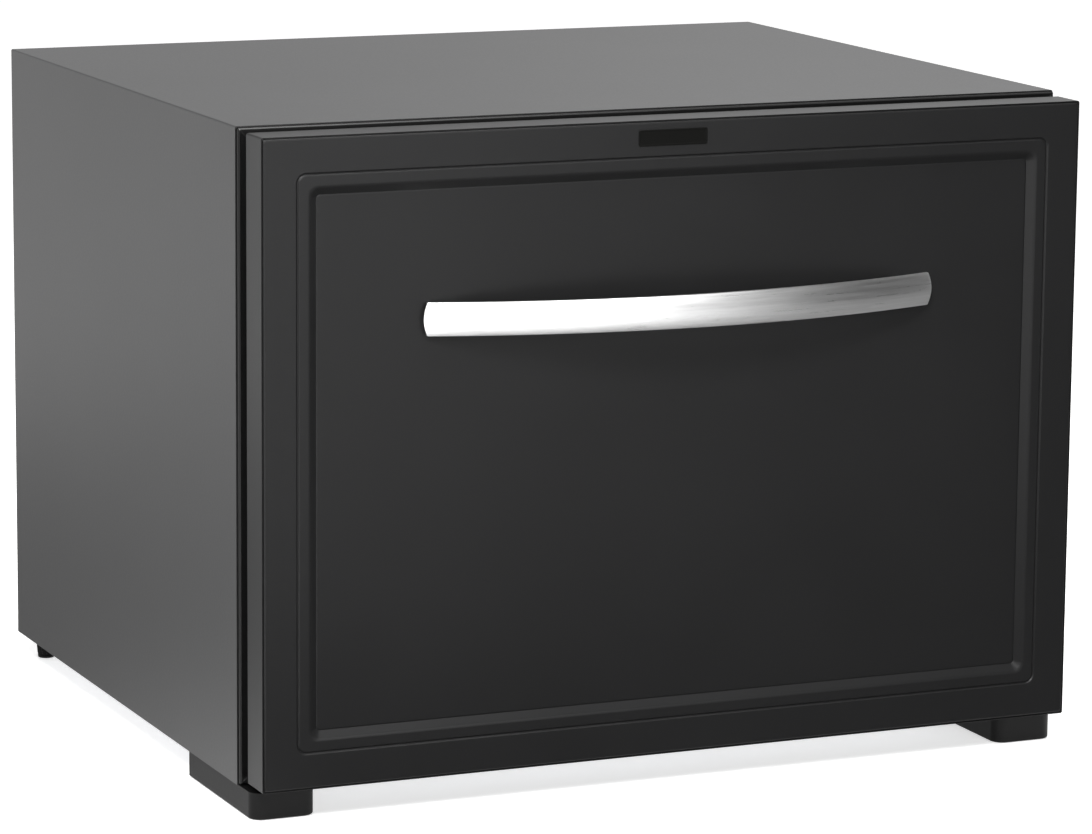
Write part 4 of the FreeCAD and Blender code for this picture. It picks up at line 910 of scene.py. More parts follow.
@dataclass
class ScrewSet:
    """A set of equal screws with cross recesses, one for each solid of its node."""

    node: str
    body: str
    axis: int
    head: Head = Head.PAN
    head_radius: float = 3.75
    head_height: float = 1.8
    crown: tuple[Spot, ...] = ((2.2, 0.03), (2.9, 0.22), (3.45, 0.62), (3.75, 1.2))
    seat_edge: float = 0.12
    sunk_edge: float = 0.05
    sunk_depth: float = 1.15
    shank_radius: float = 2.0
    shank_limit: float = 3.0
    thread_start: float = 0.3
    thread_pitch: float = 1.1
    thread_depth: float = 0.35
    tip_length: float = 1.2
    tip_radius: float = 0.5
    cross_reach: float = 1.75
    cross_half: float = 0.42
    cross_depth: float = 1.2
    cross_sunk: float = 0.96
    cross_taper: Spot = (0.55, 0.6)
    cross_edge: float = 0.02
    points: int = 32

    def star(self, reach: float, half: float, depth: float) -> list[Vector]:
        """A loop with the outline of a cross.

        Args:
            reach: How far its arms reach.
            half: Half the width of an arm.
            depth: The loop's height.

        Returns:
            Its points.
        """
        loop = []
        for step in range(self.points):
            turn = math.tau * step / self.points
            away = abs((turn + math.pi / 4) % (math.pi / 2) - math.pi / 4)
            radius = min(reach / math.cos(away), half / max(math.sin(away), 0.01))
            loop.append(Vector((radius * math.cos(turn), radius * math.sin(turn), depth)))
        return loop

    def pattern(self, length: float) -> bpy.types.Object:
        """One screw along Z, with its seat at zero and its head above.

        Args:
            length: How far its tip is below the seat.

        Returns:
            The screw.
        """
        if self.head is Head.PAN:
            top, floor = self.head_height, self.head_height - self.cross_depth
            rings = [(radius, top - drop) for radius, drop in self.crown]
            rings += [(self.head_radius, self.seat_edge), (self.head_radius - self.seat_edge, 0.0),
                      (self.shank_radius, 0.0)]
        else:
            top, floor = 0.0, -self.cross_sunk
            rings = [(self.crown[0][0], 0.0), (self.head_radius - self.sunk_edge, 0.0),
                     (self.shank_radius, -self.sunk_depth)]
        root = self.shank_radius - self.thread_depth
        depth = rings[-1][1] - self.thread_start
        while depth > -length + self.tip_length + self.thread_pitch:
            rings += [(self.shank_radius, depth), (root, depth - self.thread_pitch / 2)]
            depth -= self.thread_pitch
        rings += [(root, -length + self.tip_length), (self.tip_radius, -length)]
        loops = [self.star(self.cross_reach * self.cross_taper[0], self.cross_half * self.cross_taper[1], floor),
                 self.star(self.cross_reach, self.cross_half, top - self.cross_edge)]
        loops += [circle(Plane.FLOOR, (0, 0), radius, level, self.points) for radius, level in rings]
        return Stock().skin(loops).object("screw")

    def build(self) -> None:
        """Set a screw in the place of each solid."""
        head = self.head_height * MM if self.head is Head.PAN else 0.0
        spots, ways, length = [], [], 0.0
        for points in solids_of(self.node):
            low, high = (Vector([pick(point[axis] for point in points) for axis in range(3)]) for pick in (min, max))
            spot = (low + high) / 2
            wide = [point[self.axis] for point in points
                    if max(abs(point[i] - spot[i]) for i in range(3) if i != self.axis) > self.shank_limit * MM]
            up = 1.0 if sum(wide) / len(wide) > spot[self.axis] else -1.0
            spot[self.axis] = (high if up > 0 else low)[self.axis] - up * head
            spots.append(spot)
            ways.append(Vector([up if axis == self.axis else 0.0 for axis in range(3)]))
            length = (high[self.axis] - low[self.axis] - head) / MM
        piece = Recipes.get("spots").run(self.node + "_set", spot_object(spots, ways, len(spots)),
                                         self.pattern(length), Finishes.SCREW)
        install(piece, self.body, "screw_steel", self.node)


# ------------------------------------------------------------------ cabinet

@dataclass
class Cabinet:
    """The steel cabinet with its liner, the frame round its mouth and its back."""

    sheet_edge: float = 0.3
    plate_edge: float = 0.25
    frame_half: Spot = (279.7, 203.7)
    frame_centre: float = 221.0
    frame_front: float = -194.65
    frame_back: float = -191.15
    frame_width: float = 37.7
    frame_lip: float = 0.5
    frame_lip_thick: float = 0.3
    frame_draft: float = 0.15
    frame_bevel: float = 0.8
    mitre_bead: float = 0.3
    bead_start: float = 2.2
    bead_end: float = 9.0
    mouth_edge: float = 2.0

    def dress_steel(self) -> None:
        """Paint and plate the carried parts."""
        for node, finish, edge in (("cabinet_shell", Finishes.SHELL, self.sheet_edge),
                                   ("back_cover", Finishes.COVER, self.sheet_edge),
                                   ("base_plate", Finishes.BASE, self.plate_edge),
                                   ("rear_bulkhead", Finishes.BASE, self.plate_edge)):
            soften(node, finish, edge)
        dress("insulation_foam", Finishes.FOAM)
        dress("inner_liner", Finishes.LINER)

    def front_frame(self) -> None:
        """The frame round the mouth: a thin lip on the shell's edge, drafted sides and a bead along each mitre."""
        width, lip, front = self.frame_width, self.frame_lip, self.frame_front
        step, side = self.frame_back - self.frame_lip_thick, lip + self.frame_draft
        bead_low, bead_high, mouth = lip + self.bead_start, lip + self.bead_end, width - self.mouth_edge
        outline = Outline(Plane.FRONT, (0, self.frame_centre), self.frame_half,
                          ((0, 1.1), (lip, 0.8), (bead_high, 2.2), (mouth, 9), (width, 10)))
        profile = [Corner(0, self.frame_back), Corner(0, step, 0.1), Corner(lip, step, 0.05),
                   Corner(side, front + self.frame_bevel, 0.2), Corner(side + self.frame_bevel, front, 0.2),
                   Corner(bead_low, front), Corner(bead_high, front), Corner(mouth, front),
                   Corner(width, front, 0.9), Corner(width, self.frame_back, 0.2)]
        loops = outline.rings(profile, closed=True)
        for loop in loops:
            inset = self.frame_half[0] - max(point.x for point in loop)
            if bead_low - 0.1 < inset < bead_high + 0.1:
                for number in range(outline.steps // 2, len(loop), outline.steps + 1):
                    loop[number].y -= self.mitre_bead
        piece = Stock().skin(loops, closed=True).object("front_frame_moulding", Finishes.FRAME)
        install(even_normals(piece), "cabinet", "frame_plastic", "front_frame")

    def build(self) -> None:
        """Make and dress the cabinet."""
        self.dress_steel()
        self.front_frame()
        ScrewSet("cover_screws", "cabinet", 1).build()


@dataclass
class Feet:
    """Two long front feet and two small ribbed rear feet, each on its stud."""

    front_edge: float = 0.9
    rear_spots: tuple[Spot, Spot] = ((-263.5, 245.85), (263.5, 245.85))
    height: float = 17.0
    top_radius: float = 7.25
    bottom_radius: float = 5.75
    sole_edge: float = 0.6
    sole_steps: int = 4
    neck_low: float = 2.1
    neck_high: float = 15.9
    neck_step: float = 0.2
    rib_proud: float = 0.5
    ribs: int = 22
    rib_half: float = 0.55
    rib_low: float = 1.8
    rib_high: float = 15.6
    rib_taper: float = 0.8
    rib_root: float = 0.2
    rib_shoulder: Spot = (0.75, 0.6)
    stud_radius: float = 3.0
    stud_top: float = 25.0
    stud_edge: float = 0.5
    spin_seed: int = 5

    def radius_at(self, level: float) -> float:
        """The rear foot's outer radius at a height."""
        return self.bottom_radius + (self.top_radius - self.bottom_radius) * level / self.height

    def rear_core(self) -> bpy.types.Object:
        """A rear foot without its ribs.

        Returns:
            The foot, standing at the origin.
        """
        foot, edge, sole = self.radius_at(0), self.sole_edge, self.rib_low
        profile = [(0.0, 0.0), (foot - edge, 0.0)]
        for step in range(1, self.sole_steps + 1):
            turn = math.pi / 2 * step / self.sole_steps
            profile.append((foot - edge + edge * math.sin(turn), edge - edge * math.cos(turn)))
        neck_top = self.neck_high + self.neck_step
        profile += [(self.radius_at(sole), sole), (self.radius_at(sole) - self.rib_proud, self.neck_low),
                    (self.radius_at(self.neck_high) - self.rib_proud, self.neck_high),
                    (self.radius_at(neck_top), neck_top), (self.radius_at(self.height), self.height),
                    (self.stud_radius, self.height), (self.stud_radius, self.stud_top - self.stud_edge),
                    (self.stud_radius - self.stud_edge, self.stud_top), (0.0, self.stud_top)]
        return Stock().lathe(profile, Plane.FLOOR, (0, 0)).object("rear_core")

    def rib(self) -> bpy.types.Object:
        """One rib on a rear foot's side.

        Returns:
            The rib, on the side towards X.
        """
        far, wide = self.rib_shoulder
        section = ((0, -1), (far, -wide), (1, 0), (far, wide), (0, 1))
        loops = []
        for level, swell in ((self.rib_low, 0), (self.rib_low + self.rib_taper, 1),
                             (self.rib_high - self.rib_taper, 1), (self.rib_high, 0)):
            root = self.radius_at(level) - self.rib_proud - self.rib_root
            reach = self.rib_proud * swell + self.rib_root
            loops.append([Vector((root + reach * out, self.rib_half * side, level)) for out, side in section])
        return Stock().skin(loops).object("rib")

    def build(self) -> None:
        """Make the rear feet and dress the front ones."""
        foot = Recipes.get("round").run("rear_foot", self.rear_core(), self.rib(), Finishes.FOOT, Count=self.ribs,
                                        Centre=(0, 0, 0), Axis=(0, 0, 1))
        spots = [Vector((x, y, 0)) * MM for x, y in self.rear_spots]
        ways = [Vector((0, 0, 1)) for _ in spots]
        piece = Recipes.get("spots").run("rear_feet_ribbed", spot_object(spots, ways, self.spin_seed), foot,
                                         Finishes.FOOT)
        install(piece, "cabinet", "foot_plastic", "rear_feet")
        for word in ("left", "right"):
            soften(f"front_foot_{word}", Finishes.FOOT, self.front_edge)
        ScrewSet("foot_screws", "cabinet", 2).build()


# ------------------------------------------------------------------ drawer front

@dataclass
class DrawerFront:
    """The moulded front with its grooved frame and sunken panel, the gasket behind it and the bare badge plate."""

    half: Spot = (277.8, 201.0)
    centre: float = 221.5
    face: float = -230.85
    back: float = -204.45
    pocket: float = -225.35
    corner_radii: tuple[float, ...] = (1.4, 1.6, 6.5, 4.7, 6.2, 2.4)
    skin_side: float = 3.0
    rim_back: float = 0.45
    rim_width: float = 0.3
    slot_width: float = 0.9
    slot_depth: float = 1.6
    edge: float = 1.3
    groove_in: float = 22.2
    groove_width: float = 1.8
    groove_depth: float = 0.8
    groove_slope: float = 0.7
    recess_in: float = 31.0
    recess_bevel: float = 5.1
    recess_depth: float = 3.2
    recess_edge: float = 1.4
    foot_line: float = 0.3
    foot_width: float = 0.6
    floor_reach: float = 6.0
    inner_edge: float = 0.6
    gasket_half: Spot = (268.0, 192.0)
    gasket_centre: float = 221.0
    gasket_width: float = 16.0
    gasket_bellows: tuple[Spot, ...] = (
        (1.0, 0.0), (0.35, 0.6), (0.9, 1.3), (4.4, 1.5), (5.0, 2.2), (2.2, 3.0), (1.6, 3.8), (3.8, 4.6), (4.2, 5.1),
        (1.2, 5.7), (0.3, 6.5), (0.2, 8.4), (0.8, 9.3), (2.2, 9.5))
    badge_centre: Spot = (-8.2, 411.6)
    badge_half: Spot = (23.25, 5.1)
    badge_proud: float = 0.6
    badge_rim: float = 0.9
    badge_slope: float = 0.2
    badge_sunk: float = 0.15
    badge_floor: float = 2.5

    def panel(self) -> None:
        """The moulded skin: a fine slot beside its rim, a thin groove and a bevelled recess run round its face."""
        face, back, side = self.face, self.back, self.skin_side
        slot_out = self.rim_width + self.slot_width
        groove_out = self.groove_in + self.groove_width
        floor_in = self.recess_in + self.recess_bevel
        insets = (0, slot_out, self.groove_in, groove_out, self.recess_in, floor_in)
        outline = Outline(Plane.FRONT, (0, self.centre), self.half, tuple(zip(insets, self.corner_radii)), steps=10)
        rim, slot, groove, floor = (face + depth for depth in (self.rim_back, self.slot_depth, self.groove_depth,
                                                               self.recess_depth))
        profile = [Corner(side, self.pocket), Corner(side, back, 0.3), Corner(0, back, 0.4), Corner(0, rim, 0.12),
                   Corner(self.rim_width, rim, 0.1), Corner(self.rim_width, slot, 0.1), Corner(slot_out, slot, 0.1),
                   Corner(slot_out, face, self.edge),
                   Corner(self.groove_in, face, 0.4), Corner(self.groove_in + self.groove_slope, groove, 0.2),
                   Corner(groove_out - self.groove_slope, groove, 0.2), Corner(groove_out, face, 0.5),
                   Corner(self.recess_in, face, self.recess_edge),
                   Corner(floor_in - 0.1, floor + self.foot_line, 0.2),
                   Corner(floor_in + self.foot_width, floor, 0.3), Corner(floor_in + self.floor_reach, floor)]
        piece = Stock().skin(outline.rings(profile, steps=5)).object("drawer_front_moulding", Finishes.FRONT)
        install(even_normals(piece), "drawer", "front_plastic", "drawer_front_panel")

    def gasket(self) -> None:
        """The bellows gasket with its magnet tube, mitred at the corners."""
        mirrored = [(self.gasket_width - inset, depth) for inset, depth in reversed(self.gasket_bellows)]
        outline = Outline(Plane.FRONT, (0, self.gasket_centre), self.gasket_half, steps=0)
        loops = [outline.ring(inset, self.back + depth) for inset, depth in (*self.gasket_bellows, *mirrored)]
        piece = Stock().skin(loops, closed=True).object("gasket_bellows", Finishes.GASKET)
        install(piece, "drawer", "gasket_rubber", "drawer_gasket")

    def badge(self) -> None:
        """A small bare plate with a raised rim."""
        outline = Outline(Plane.FRONT, self.badge_centre, self.badge_half, ((0, 1.2), (1.2, 0.5)), steps=4)
        top = self.face - self.badge_proud
        low = top + self.badge_sunk
        profile = [Corner(0, self.face), Corner(0, top, 0.25), Corner(self.badge_rim, top, 0.1),
                   Corner(self.badge_rim + self.badge_slope, low, 0.1), Corner(self.badge_floor, low)]
        piece = Stock().skin(outline.rings(profile)).object("badge_blank", Finishes.BADGE)
        install(even_normals(piece), "drawer", "badge_black", "badge_plate")

    def build(self) -> None:
        """Make and dress the drawer front."""
        self.panel()
        self.gasket()
        self.badge()
        dress("drawer_front_foam", Finishes.FOAM)
        soften("drawer_inner_panel", Finishes.LINER, self.inner_edge, "drawer")


@dataclass
class Handle:
    """The bowed strap with a crowned front, on two posts."""

    half_span: float = 173.5
    bulge: float = 2.5
    half_height: float = 10.4
    level: float = 307.3
    front: float = -260.85
    radius: float = 533.5
    thickness: float = 3.4
    rim: float = 2.3
    edge: float = 0.35
    edge_middle: Spot = (0.3, 0.15)
    back_edge: float = 0.4
    crown_steps: int = 14
    sections: int = 96
    inner_share: float = 0.994
    end_steps: tuple[Spot, ...] = ((1.0, 0.75), (0.9985, 0.25), (0.997, 0.0))
    end_pinch: float = 0.25

    def section(self) -> list[Spot]:
        """The strap's section.

        Returns:
            Its points, as height and distance in front of its flat back.
        """
        high, edge, back = self.half_height, self.edge, self.back_edge
        crown = self.thickness - self.rim
        bow = (high * high + crown * crown) / 2 / crown
        loop = []
        for step in range(self.crown_steps + 1):
            up = -(high - edge) + 2 * (high - edge) * step / self.crown_steps
            loop.append((up, self.thickness - bow + math.sqrt(bow * bow - up * up)))
        upper = [(high - edge * self.edge_middle[0], self.rim - edge * self.edge_middle[1]), (high, self.rim - edge),
                 (high, back), (high - back, 0.0)]
        return loop + upper + [(-up, out) for up, out in reversed(upper)]

    def strap(self) -> None:
        """Sweep the section along the bow; each level ends on the bulging end."""
        centre, straight, inner = self.front + self.radius, self.half_span - self.bulge, self.inner_share
        section = self.section()
        shares = [(-share, shrink) for share, shrink in self.end_steps]
        shares += [(-inner + 2 * inner * step / self.sections, 0.0) for step in range(self.sections + 1)]
        shares += reversed(self.end_steps)
        loops = []
        for share, shrink in shares:
            loop = []
            for up, out in section:
                level = up - math.copysign(min(shrink * self.edge, abs(up)), up)
                depth = out + (self.thickness / 2 - out) * shrink * self.end_pinch
                across = share * (straight + self.bulge * (1 - (up / self.half_height) ** 2))
                ring = self.radius - self.thickness + depth
                loop.append(Vector((across, centre - math.sqrt(ring * ring - across * across), self.level + level)))
            loops.append(loop)
        piece = Stock().skin(loops).object("handle_bow", Finishes.HANDLE)
        install(even_normals(piece), "drawer", "handle_metal", "handle_strap")

    def build(self) -> None:
        """Make and dress the handle."""
        self.strap()
        dress("handle_posts", Finishes.HANDLE)
        ScrewSet("handle_screws", "drawer", 1).build()


# ------------------------------------------------------------------ slides and drawer box

@dataclass
class Slides:
    """The telescopic slides with their cages, balls and screws."""

    rolled_edge: float = 0.25

    def build(self) -> None:
        """Dress both slides."""
        for word in ("left", "right"):
            for part, body in (("outer", "cabinet"), ("middle", f"slide_middle_{word}"), ("inner", "drawer")):
                soften(f"slide_{part}_{word}", Finishes.SLIDE, self.rolled_edge, body)
            for part in ("outer", "inner"):
                dress(f"{part}_cage_{word}", Finishes.CAGE)
                dress(f"{part}_balls_{word}", Finishes.BALL)
        ScrewSet("slide_outer_screws", "cabinet", 0, head=Head.SUNK).build()
        ScrewSet("slide_inner_screws", "drawer", 0).build()


@dataclass
class DrawerBox:
    """The bin on its brackets, with the sliding divider."""

    bin_centre: Spot = (0.0, -56.15)
    bin_half: Spot = (224.8, 131.0)
    floor: float = 62.5
    rim: float = 252.5
    wall: float = 2.5
    lip_radius: float = 0.7
    foot_radius: float = 5.0
    inner_radius: float = 4.0
    floor_in: float = 14.0
    rib_pitch: float = 28.0
    rib_count: int = 15
    rib_height: float = 1.2
    rib_width: float = 2.6
    rib_root: float = 0.3
    rib_edge: float = 0.7
    rib_margin: float = 16.0
    divider_edge: float = 0.5
    bracket_edge: float = 0.3

    def bin(self) -> None:
        """The bin, with ribs across its floor."""
        outline = Outline(Plane.FLOOR, self.bin_centre, self.bin_half, ((0, 8), (self.wall, 5.5), (12, 2)), steps=6)
        top, lip = self.floor + self.wall, self.lip_radius
        profile = [Corner(self.floor_in, self.floor), Corner(0, self.floor, self.foot_radius),
                   Corner(0, self.rim, lip), Corner(self.wall, self.rim, lip),
                   Corner(self.wall, top, self.inner_radius), Corner(self.floor_in, top)]
        tub = Stock().skin(outline.rings(profile)).object("bin_tub")
        first, half = -self.rib_pitch * (self.rib_count - 1) / 2, self.rib_width / 2
        low, high = (self.bin_centre[1] + side * (self.bin_half[1] - self.rib_margin) for side in (-1, 1))
        rib = Stock().block((first - half, low, top - self.rib_root), (first + half, high, top + self.rib_height),
                            self.rib_edge, 3).object("bin_rib")
        piece = Recipes.get("row").run("bin_ribbed", tub, rib, Finishes.BIN, Count=self.rib_count,
                                       Pitch=(self.rib_pitch * MM, 0, 0))
        install(even_normals(piece), "drawer", "bin_plastic", "drawer_bin")

    def build(self) -> None:
        """Make and dress the drawer's box."""
        self.bin()
        soften("bottle_divider", Finishes.DIVIDER, self.divider_edge, "divider")
        for word in ("left", "right"):
            soften(f"drawer_bracket_{word}", Finishes.SLIDE, self.bracket_edge, "drawer")
        ScrewSet("bracket_screws", "drawer", 1).build()


# ------------------------------------------------------------------ cooling unit and electrics

@dataclass
class CoolingUnit:
    """The cold and hot sides of the cooling unit, with its fan."""

    hub: Spot = (0.0, 267.0)
    rotor_front: float = 211.85
    rotor_back: float = 231.85
    shaft_end: float = 235.85
    shaft_edge: float = 0.3
    hub_radius: float = 20.0
    hub_round: float = 2.0
    hub_edge: float = 0.6
    hub_wall: float = 1.2
    hub_hollow: float = 3.0
    tip_radius: float = 56.0
    shaft_radius: float = 2.0
    blades: int = 7
    blade_steps: int = 8
    blade_root: float = 1.5
    blade_angle: float = 52.0
    blade_twist: float = 22.0
    blade_half: float = 8.6
    blade_fill: float = 0.95
    blade_thick: float = 1.5
    blade_camber: float = 1.8
    camber_lean: float = 0.6
    face_lean: float = 0.7
    edges: tuple[tuple[str, Finishes, float], ...] = (
        ("cold_block", Finishes.SINK, 0.4), ("cold_sink", Finishes.SINK, 0.15), ("hot_sink", Finishes.SINK, 0.15),
        ("peltier_module", Finishes.CERAMIC, 0.2), ("cold_hood", Finishes.LINER, 0.6),
        ("hot_fan_frame", Finishes.FAN, 0.5))

    def blade(self) -> bpy.types.Object:
        """One cambered blade.

        Returns:
            The blade, pointing to the right of the hub.
        """
        middle, inner = (self.rotor_front + self.rotor_back) / 2, self.hub_radius - self.blade_root
        steps = self.blade_steps
        loops = []
        for share in [step / steps for step in range(steps + 1)]:
            radius = inner + (self.tip_radius - inner) * share
            reach = self.blade_half / math.tan(math.radians(self.blade_angle - self.blade_twist * share))
            upper, lower = [], []
            for along in [-1 + 2 * part / steps for part in range(steps + 1)]:
                camber = self.blade_camber * (1 - along * along) * self.camber_lean
                half = self.blade_thick / 2 * math.sqrt(max(1 - along * along, 0.02)) * self.face_lean
                level, depth = along * reach + camber, along * self.blade_half * self.blade_fill - camber
                upper.append((level + half, depth - half))
                lower.append((level - half, depth + half))
            loops.append([Vector((math.sqrt(max(radius ** 2 - level ** 2, 1)), middle + depth, level))
                          for level, depth in upper + lower[::-1]])
        return Stock().skin(loops).object("blade")

    def rotor(self) -> None:
        """The hub with its blades."""
        front, back, radius, shaft = self.rotor_front, self.rotor_back, self.hub_radius, self.shaft_radius
        inside, hollow = radius - self.hub_wall, back - self.hub_hollow
        profile = [(0.0, front), (radius - self.hub_round, front), (radius - self.hub_edge, front + self.hub_edge),
                   (radius, front + self.hub_round), (radius, back), (inside, back), (inside, hollow),
                   (shaft, hollow), (shaft, self.shaft_end - self.shaft_edge),
                   (shaft - self.shaft_edge, self.shaft_end), (0.0, self.shaft_end)]
        hub = Stock().lathe(profile, Plane.FRONT, self.hub).object("rotor_hub")
        piece = Recipes.get("round").run("fan_rotor_bladed", hub, self.blade(), Finishes.FAN, Count=self.blades,
                                         Centre=(0, 0, self.hub[1] * MM), Axis=(0, 1, 0))
        install(piece, "fan_rotor", "fan_plastic", "hot_fan_rotor")

    def build(self) -> None:
        """Make and dress the cooling unit."""
        for node, finish, edge in self.edges:
            soften(node, finish, edge)
        self.rotor()
        ScrewSet("fan_screws", "cabinet", 1).build()
        ScrewSet("clamp_screws", "cabinet", 1).build()


@dataclass
class Electrics:
    """Power supply, inlet, lamp, thermostat knob and the drawer's switch."""

    knob_centre: Spot = (50.0, -146.15)
    knob_low: float = 367.5
    knob_high: float = 376.5
    knob_radius: float = 12.0
    knob_proud: float = 0.5
    knob_sides: int = 60
    pointer_half: float = 0.8
    pointer_proud: float = 0.9
    pointer_height: float = 6.0
    grips: int = 24
    grip_half: float = 0.65
    grip_root: float = 0.4
    grip_inset: float = 1.2
    spindle_radius: float = 3.0
    spindle_top: float = 382.0
    housing_low: float = 377.0
    mark_radius: float = 17.0
    mark_size: float = 4.2
    mark_half: float = 0.08
    mark_gap: float = 0.04
    marks: int = 6
    turn_range: float = 270.0
    lens_low: Point = (-63.0, -157.15, 377.0)
    lens_high: Point = (21.0, -135.15, 379.0)
    lens_plate: float = 0.8
    prism_pitch: float = 2.0
    prism_low: float = 0.05
    prism_high: float = 0.9
    strip_margin: Spot = (2.0, 3.0)
    strip_low: float = 384.0
    strip_high: float = 385.2
    chip_low: Point = (-55.0, -148.2, 383.2)
    chip_high: Point = (-51.5, -144.1, 384.1)
    chip_pitch: float = 13.0
    chips: int = 6
    edges: tuple[tuple[str, Finishes, float, str], ...] = (
        ("power_supply", Finishes.SUPPLY, 0.8, "cabinet"), ("power_inlet", Finishes.INLET, 0.4, "cabinet"),
        ("inlet_pins", Finishes.PIN, 0.4, "cabinet"), ("lamp_housing", Finishes.LINER, 0.6, "cabinet"),
        ("reed_switch", Finishes.SWITCH, 0.5, "cabinet"), ("reed_magnet", Finishes.MAGNET, 0.3, "drawer"))

    def knob(self) -> None:
        """A ribbed knob with a pointer line."""
        low, high, radius = self.knob_low, self.knob_high, self.knob_radius - self.knob_proud
        profile = [(0.0, low), (radius - 2.2, low), (radius - 0.8, low + 0.4), (radius, low + 1.6),
                   (radius, high - 1.4), (self.knob_radius, high - 1.0), (self.knob_radius, high),
                   (self.spindle_radius, high), (self.spindle_radius, self.spindle_top), (0.0, self.spindle_top)]
        core = Stock().lathe(profile, Plane.FLOOR, self.knob_centre, self.knob_sides)
        x, y = self.knob_centre
        core.block((x - self.pointer_half, y - self.knob_radius - self.pointer_proud, low),
                   (x + self.pointer_half, y - 2, low + self.pointer_height), 0.3)
        ridge = Stock().block((radius - self.grip_root, -self.grip_half, low + self.grip_inset),
                              (self.knob_radius, self.grip_half, high - self.grip_inset), 0.3)
        piece = Recipes.get("round").run("knob_ribbed", core.object("knob_core"), ridge.object("knob_ridge"),
                                         Finishes.KNOB, Count=self.grips, Centre=(x * MM, y * MM, 0), Axis=(0, 0, 1))
        install(piece, "knob", "knob_plastic", "thermostat_knob")

    def dial(self) -> None:
        """Numbers round the knob on the underside of the lamp's housing."""
        dial = Stock()
        for number in range(self.marks):
            text = bpy.data.curves.new(f"mark_{number}", "FONT")
            text.body = str(number)
            text.size = self.mark_size
            text.extrude = self.mark_half
            text.align_x = text.align_y = "CENTER"
            holder = add_object(text.name, text)
            bpy.context.view_layer.update()
            mesh = bpy.data.meshes.new_from_object(holder)
            turn = math.radians(self.turn_range * (number / (self.marks - 1) - 0.5))
            spot = Vector((self.knob_centre[0] + self.mark_radius * math.sin(turn),
                           self.knob_centre[1] - self.mark_radius * math.cos(turn), self.housing_low - self.mark_gap))
            mesh.transform(Matrix.Translation(spot) @ Matrix.Rotation(math.pi, 4, "X"))
            dial.mesh.from_mesh(mesh)
            bpy.data.objects.remove(holder)
        install(dial.object("dial_marks", Finishes.MARK), "cabinet", "knob_plastic")

    def lens(self) -> None:
        """The lamp's lens with prisms across it, over a strip of light chips."""
        low, high = Vector(self.lens_low), Vector(self.lens_high)
        plate = Stock().block((low.x, low.y, low.z + self.lens_plate), tuple(high), 0.2).object("lens_plate")
        half = self.prism_pitch / 2
        loops = [[Vector((low.x + half * steps, y, low.z + up))
                  for steps, up in ((1, self.prism_high), (3, self.prism_high), (2, self.prism_low))]
                 for y in (low.y + 1.0, high.y - 1.0)]
        count = int((high.x - low.x) / self.prism_pitch) - 1
        piece = Recipes.get("row").run("lens_prisms", plate, Stock().skin(loops).object("prism"), Finishes.LENS,
                                       Count=count, Pitch=(self.prism_pitch * MM, 0, 0))
        install(piece, "cabinet", "lens_clear", "lamp_lens")
        in_x, in_y = self.strip_margin
        strip = Stock().block((low.x + in_x, low.y + in_y, self.strip_low),
                              (high.x - in_x, high.y - in_y, self.strip_high), 0.2)
        install(strip.object("light_strip", Finishes.SWITCH), "cabinet", "switch_plastic")
        first, chip = (Stock().block(self.chip_low, self.chip_high, 0.4).object(name) for name in ("first", "chip"))
        chips = Recipes.get("row").run("light_chips", first, chip, Finishes.PHOSPHOR, Count=self.chips,
                                       Pitch=(self.chip_pitch * MM, 0, 0))
        install(chips, "cabinet", "lens_clear")

    def build(self) -> None:
        """Make and dress the electrics."""
        for node, finish, edge, body in self.edges:
            soften(node, finish, edge, body)
        self.knob()
        self.dial()
        self.lens()


# ------------------------------------------------------------------ studio

@dataclass(frozen=True)
class Lamp:
    """A square soft lamp: where it hangs, its width and its power."""

    name: str
    place: Point
    width: float
    power: float

    def build(self, aim: Vector) -> None:
        """Hang the lamp.

        Args:
            aim: The point that it shines at.
        """
        data = bpy.data.lights.new(self.name, "AREA")
        data.size = self.width
        data.energy = self.power
        lamp = add_object(self.name, data)
        lamp.location = self.place
        lamp.rotation_mode = "QUATERNION"
        lamp.rotation_quaternion = (aim - Vector(self.place)).to_track_quat("-Z", "Y")


@dataclass(frozen=True)
class Mat:
    """A level sheet of painted floor shade, seen only in gloss, at some height: full between two corners and fading
    out over its reach beyond them.

    On the sides where it meets the object it ends at once.
    """

    name: str
    low: Spot
    high: Spot
    reach: float
    tone: float
    level: float

    def corners(self) -> list[Point]:
        """The corners of its sheet."""
        far = [edge + (self.reach if edge > 0 else 0.0) for edge in self.high]
        return level_sheet([edge - self.reach for edge in self.low], far, self.level)

    def cover(self, at: list[Wire]) -> Wire:
        """How far it covers a point.

        Args:
            at: The point's X, Y and Z.

        Returns:
            1 for all, less beyond its corners, and below 0 for nothing.
        """
        past = []
        for axis, (low, high) in enumerate(zip(self.low, self.high)):
            past.append((low - at[axis]).at_least(at[axis] - high).at_least(0.0))
        return 1.0 - (past[0] * past[0] + past[1] * past[1]) ** 0.5 / self.reach


def level_sheet(low: Sequence[float], high: Sequence[float], level: float) -> list[Point]:
    """The corners of a level sheet."""
    return [(low[0], low[1], level), (high[0], low[1], level), (high[0], high[1], level), (low[0], high[1], level)]


def upright_sheet(low: Point, high: Point) -> list[Point]:
    """The corners of an upright sheet that faces the front."""
    return [low, (high[0], low[1], low[2]), (high[0], low[1], high[2]), (low[0], low[1], high[2])]


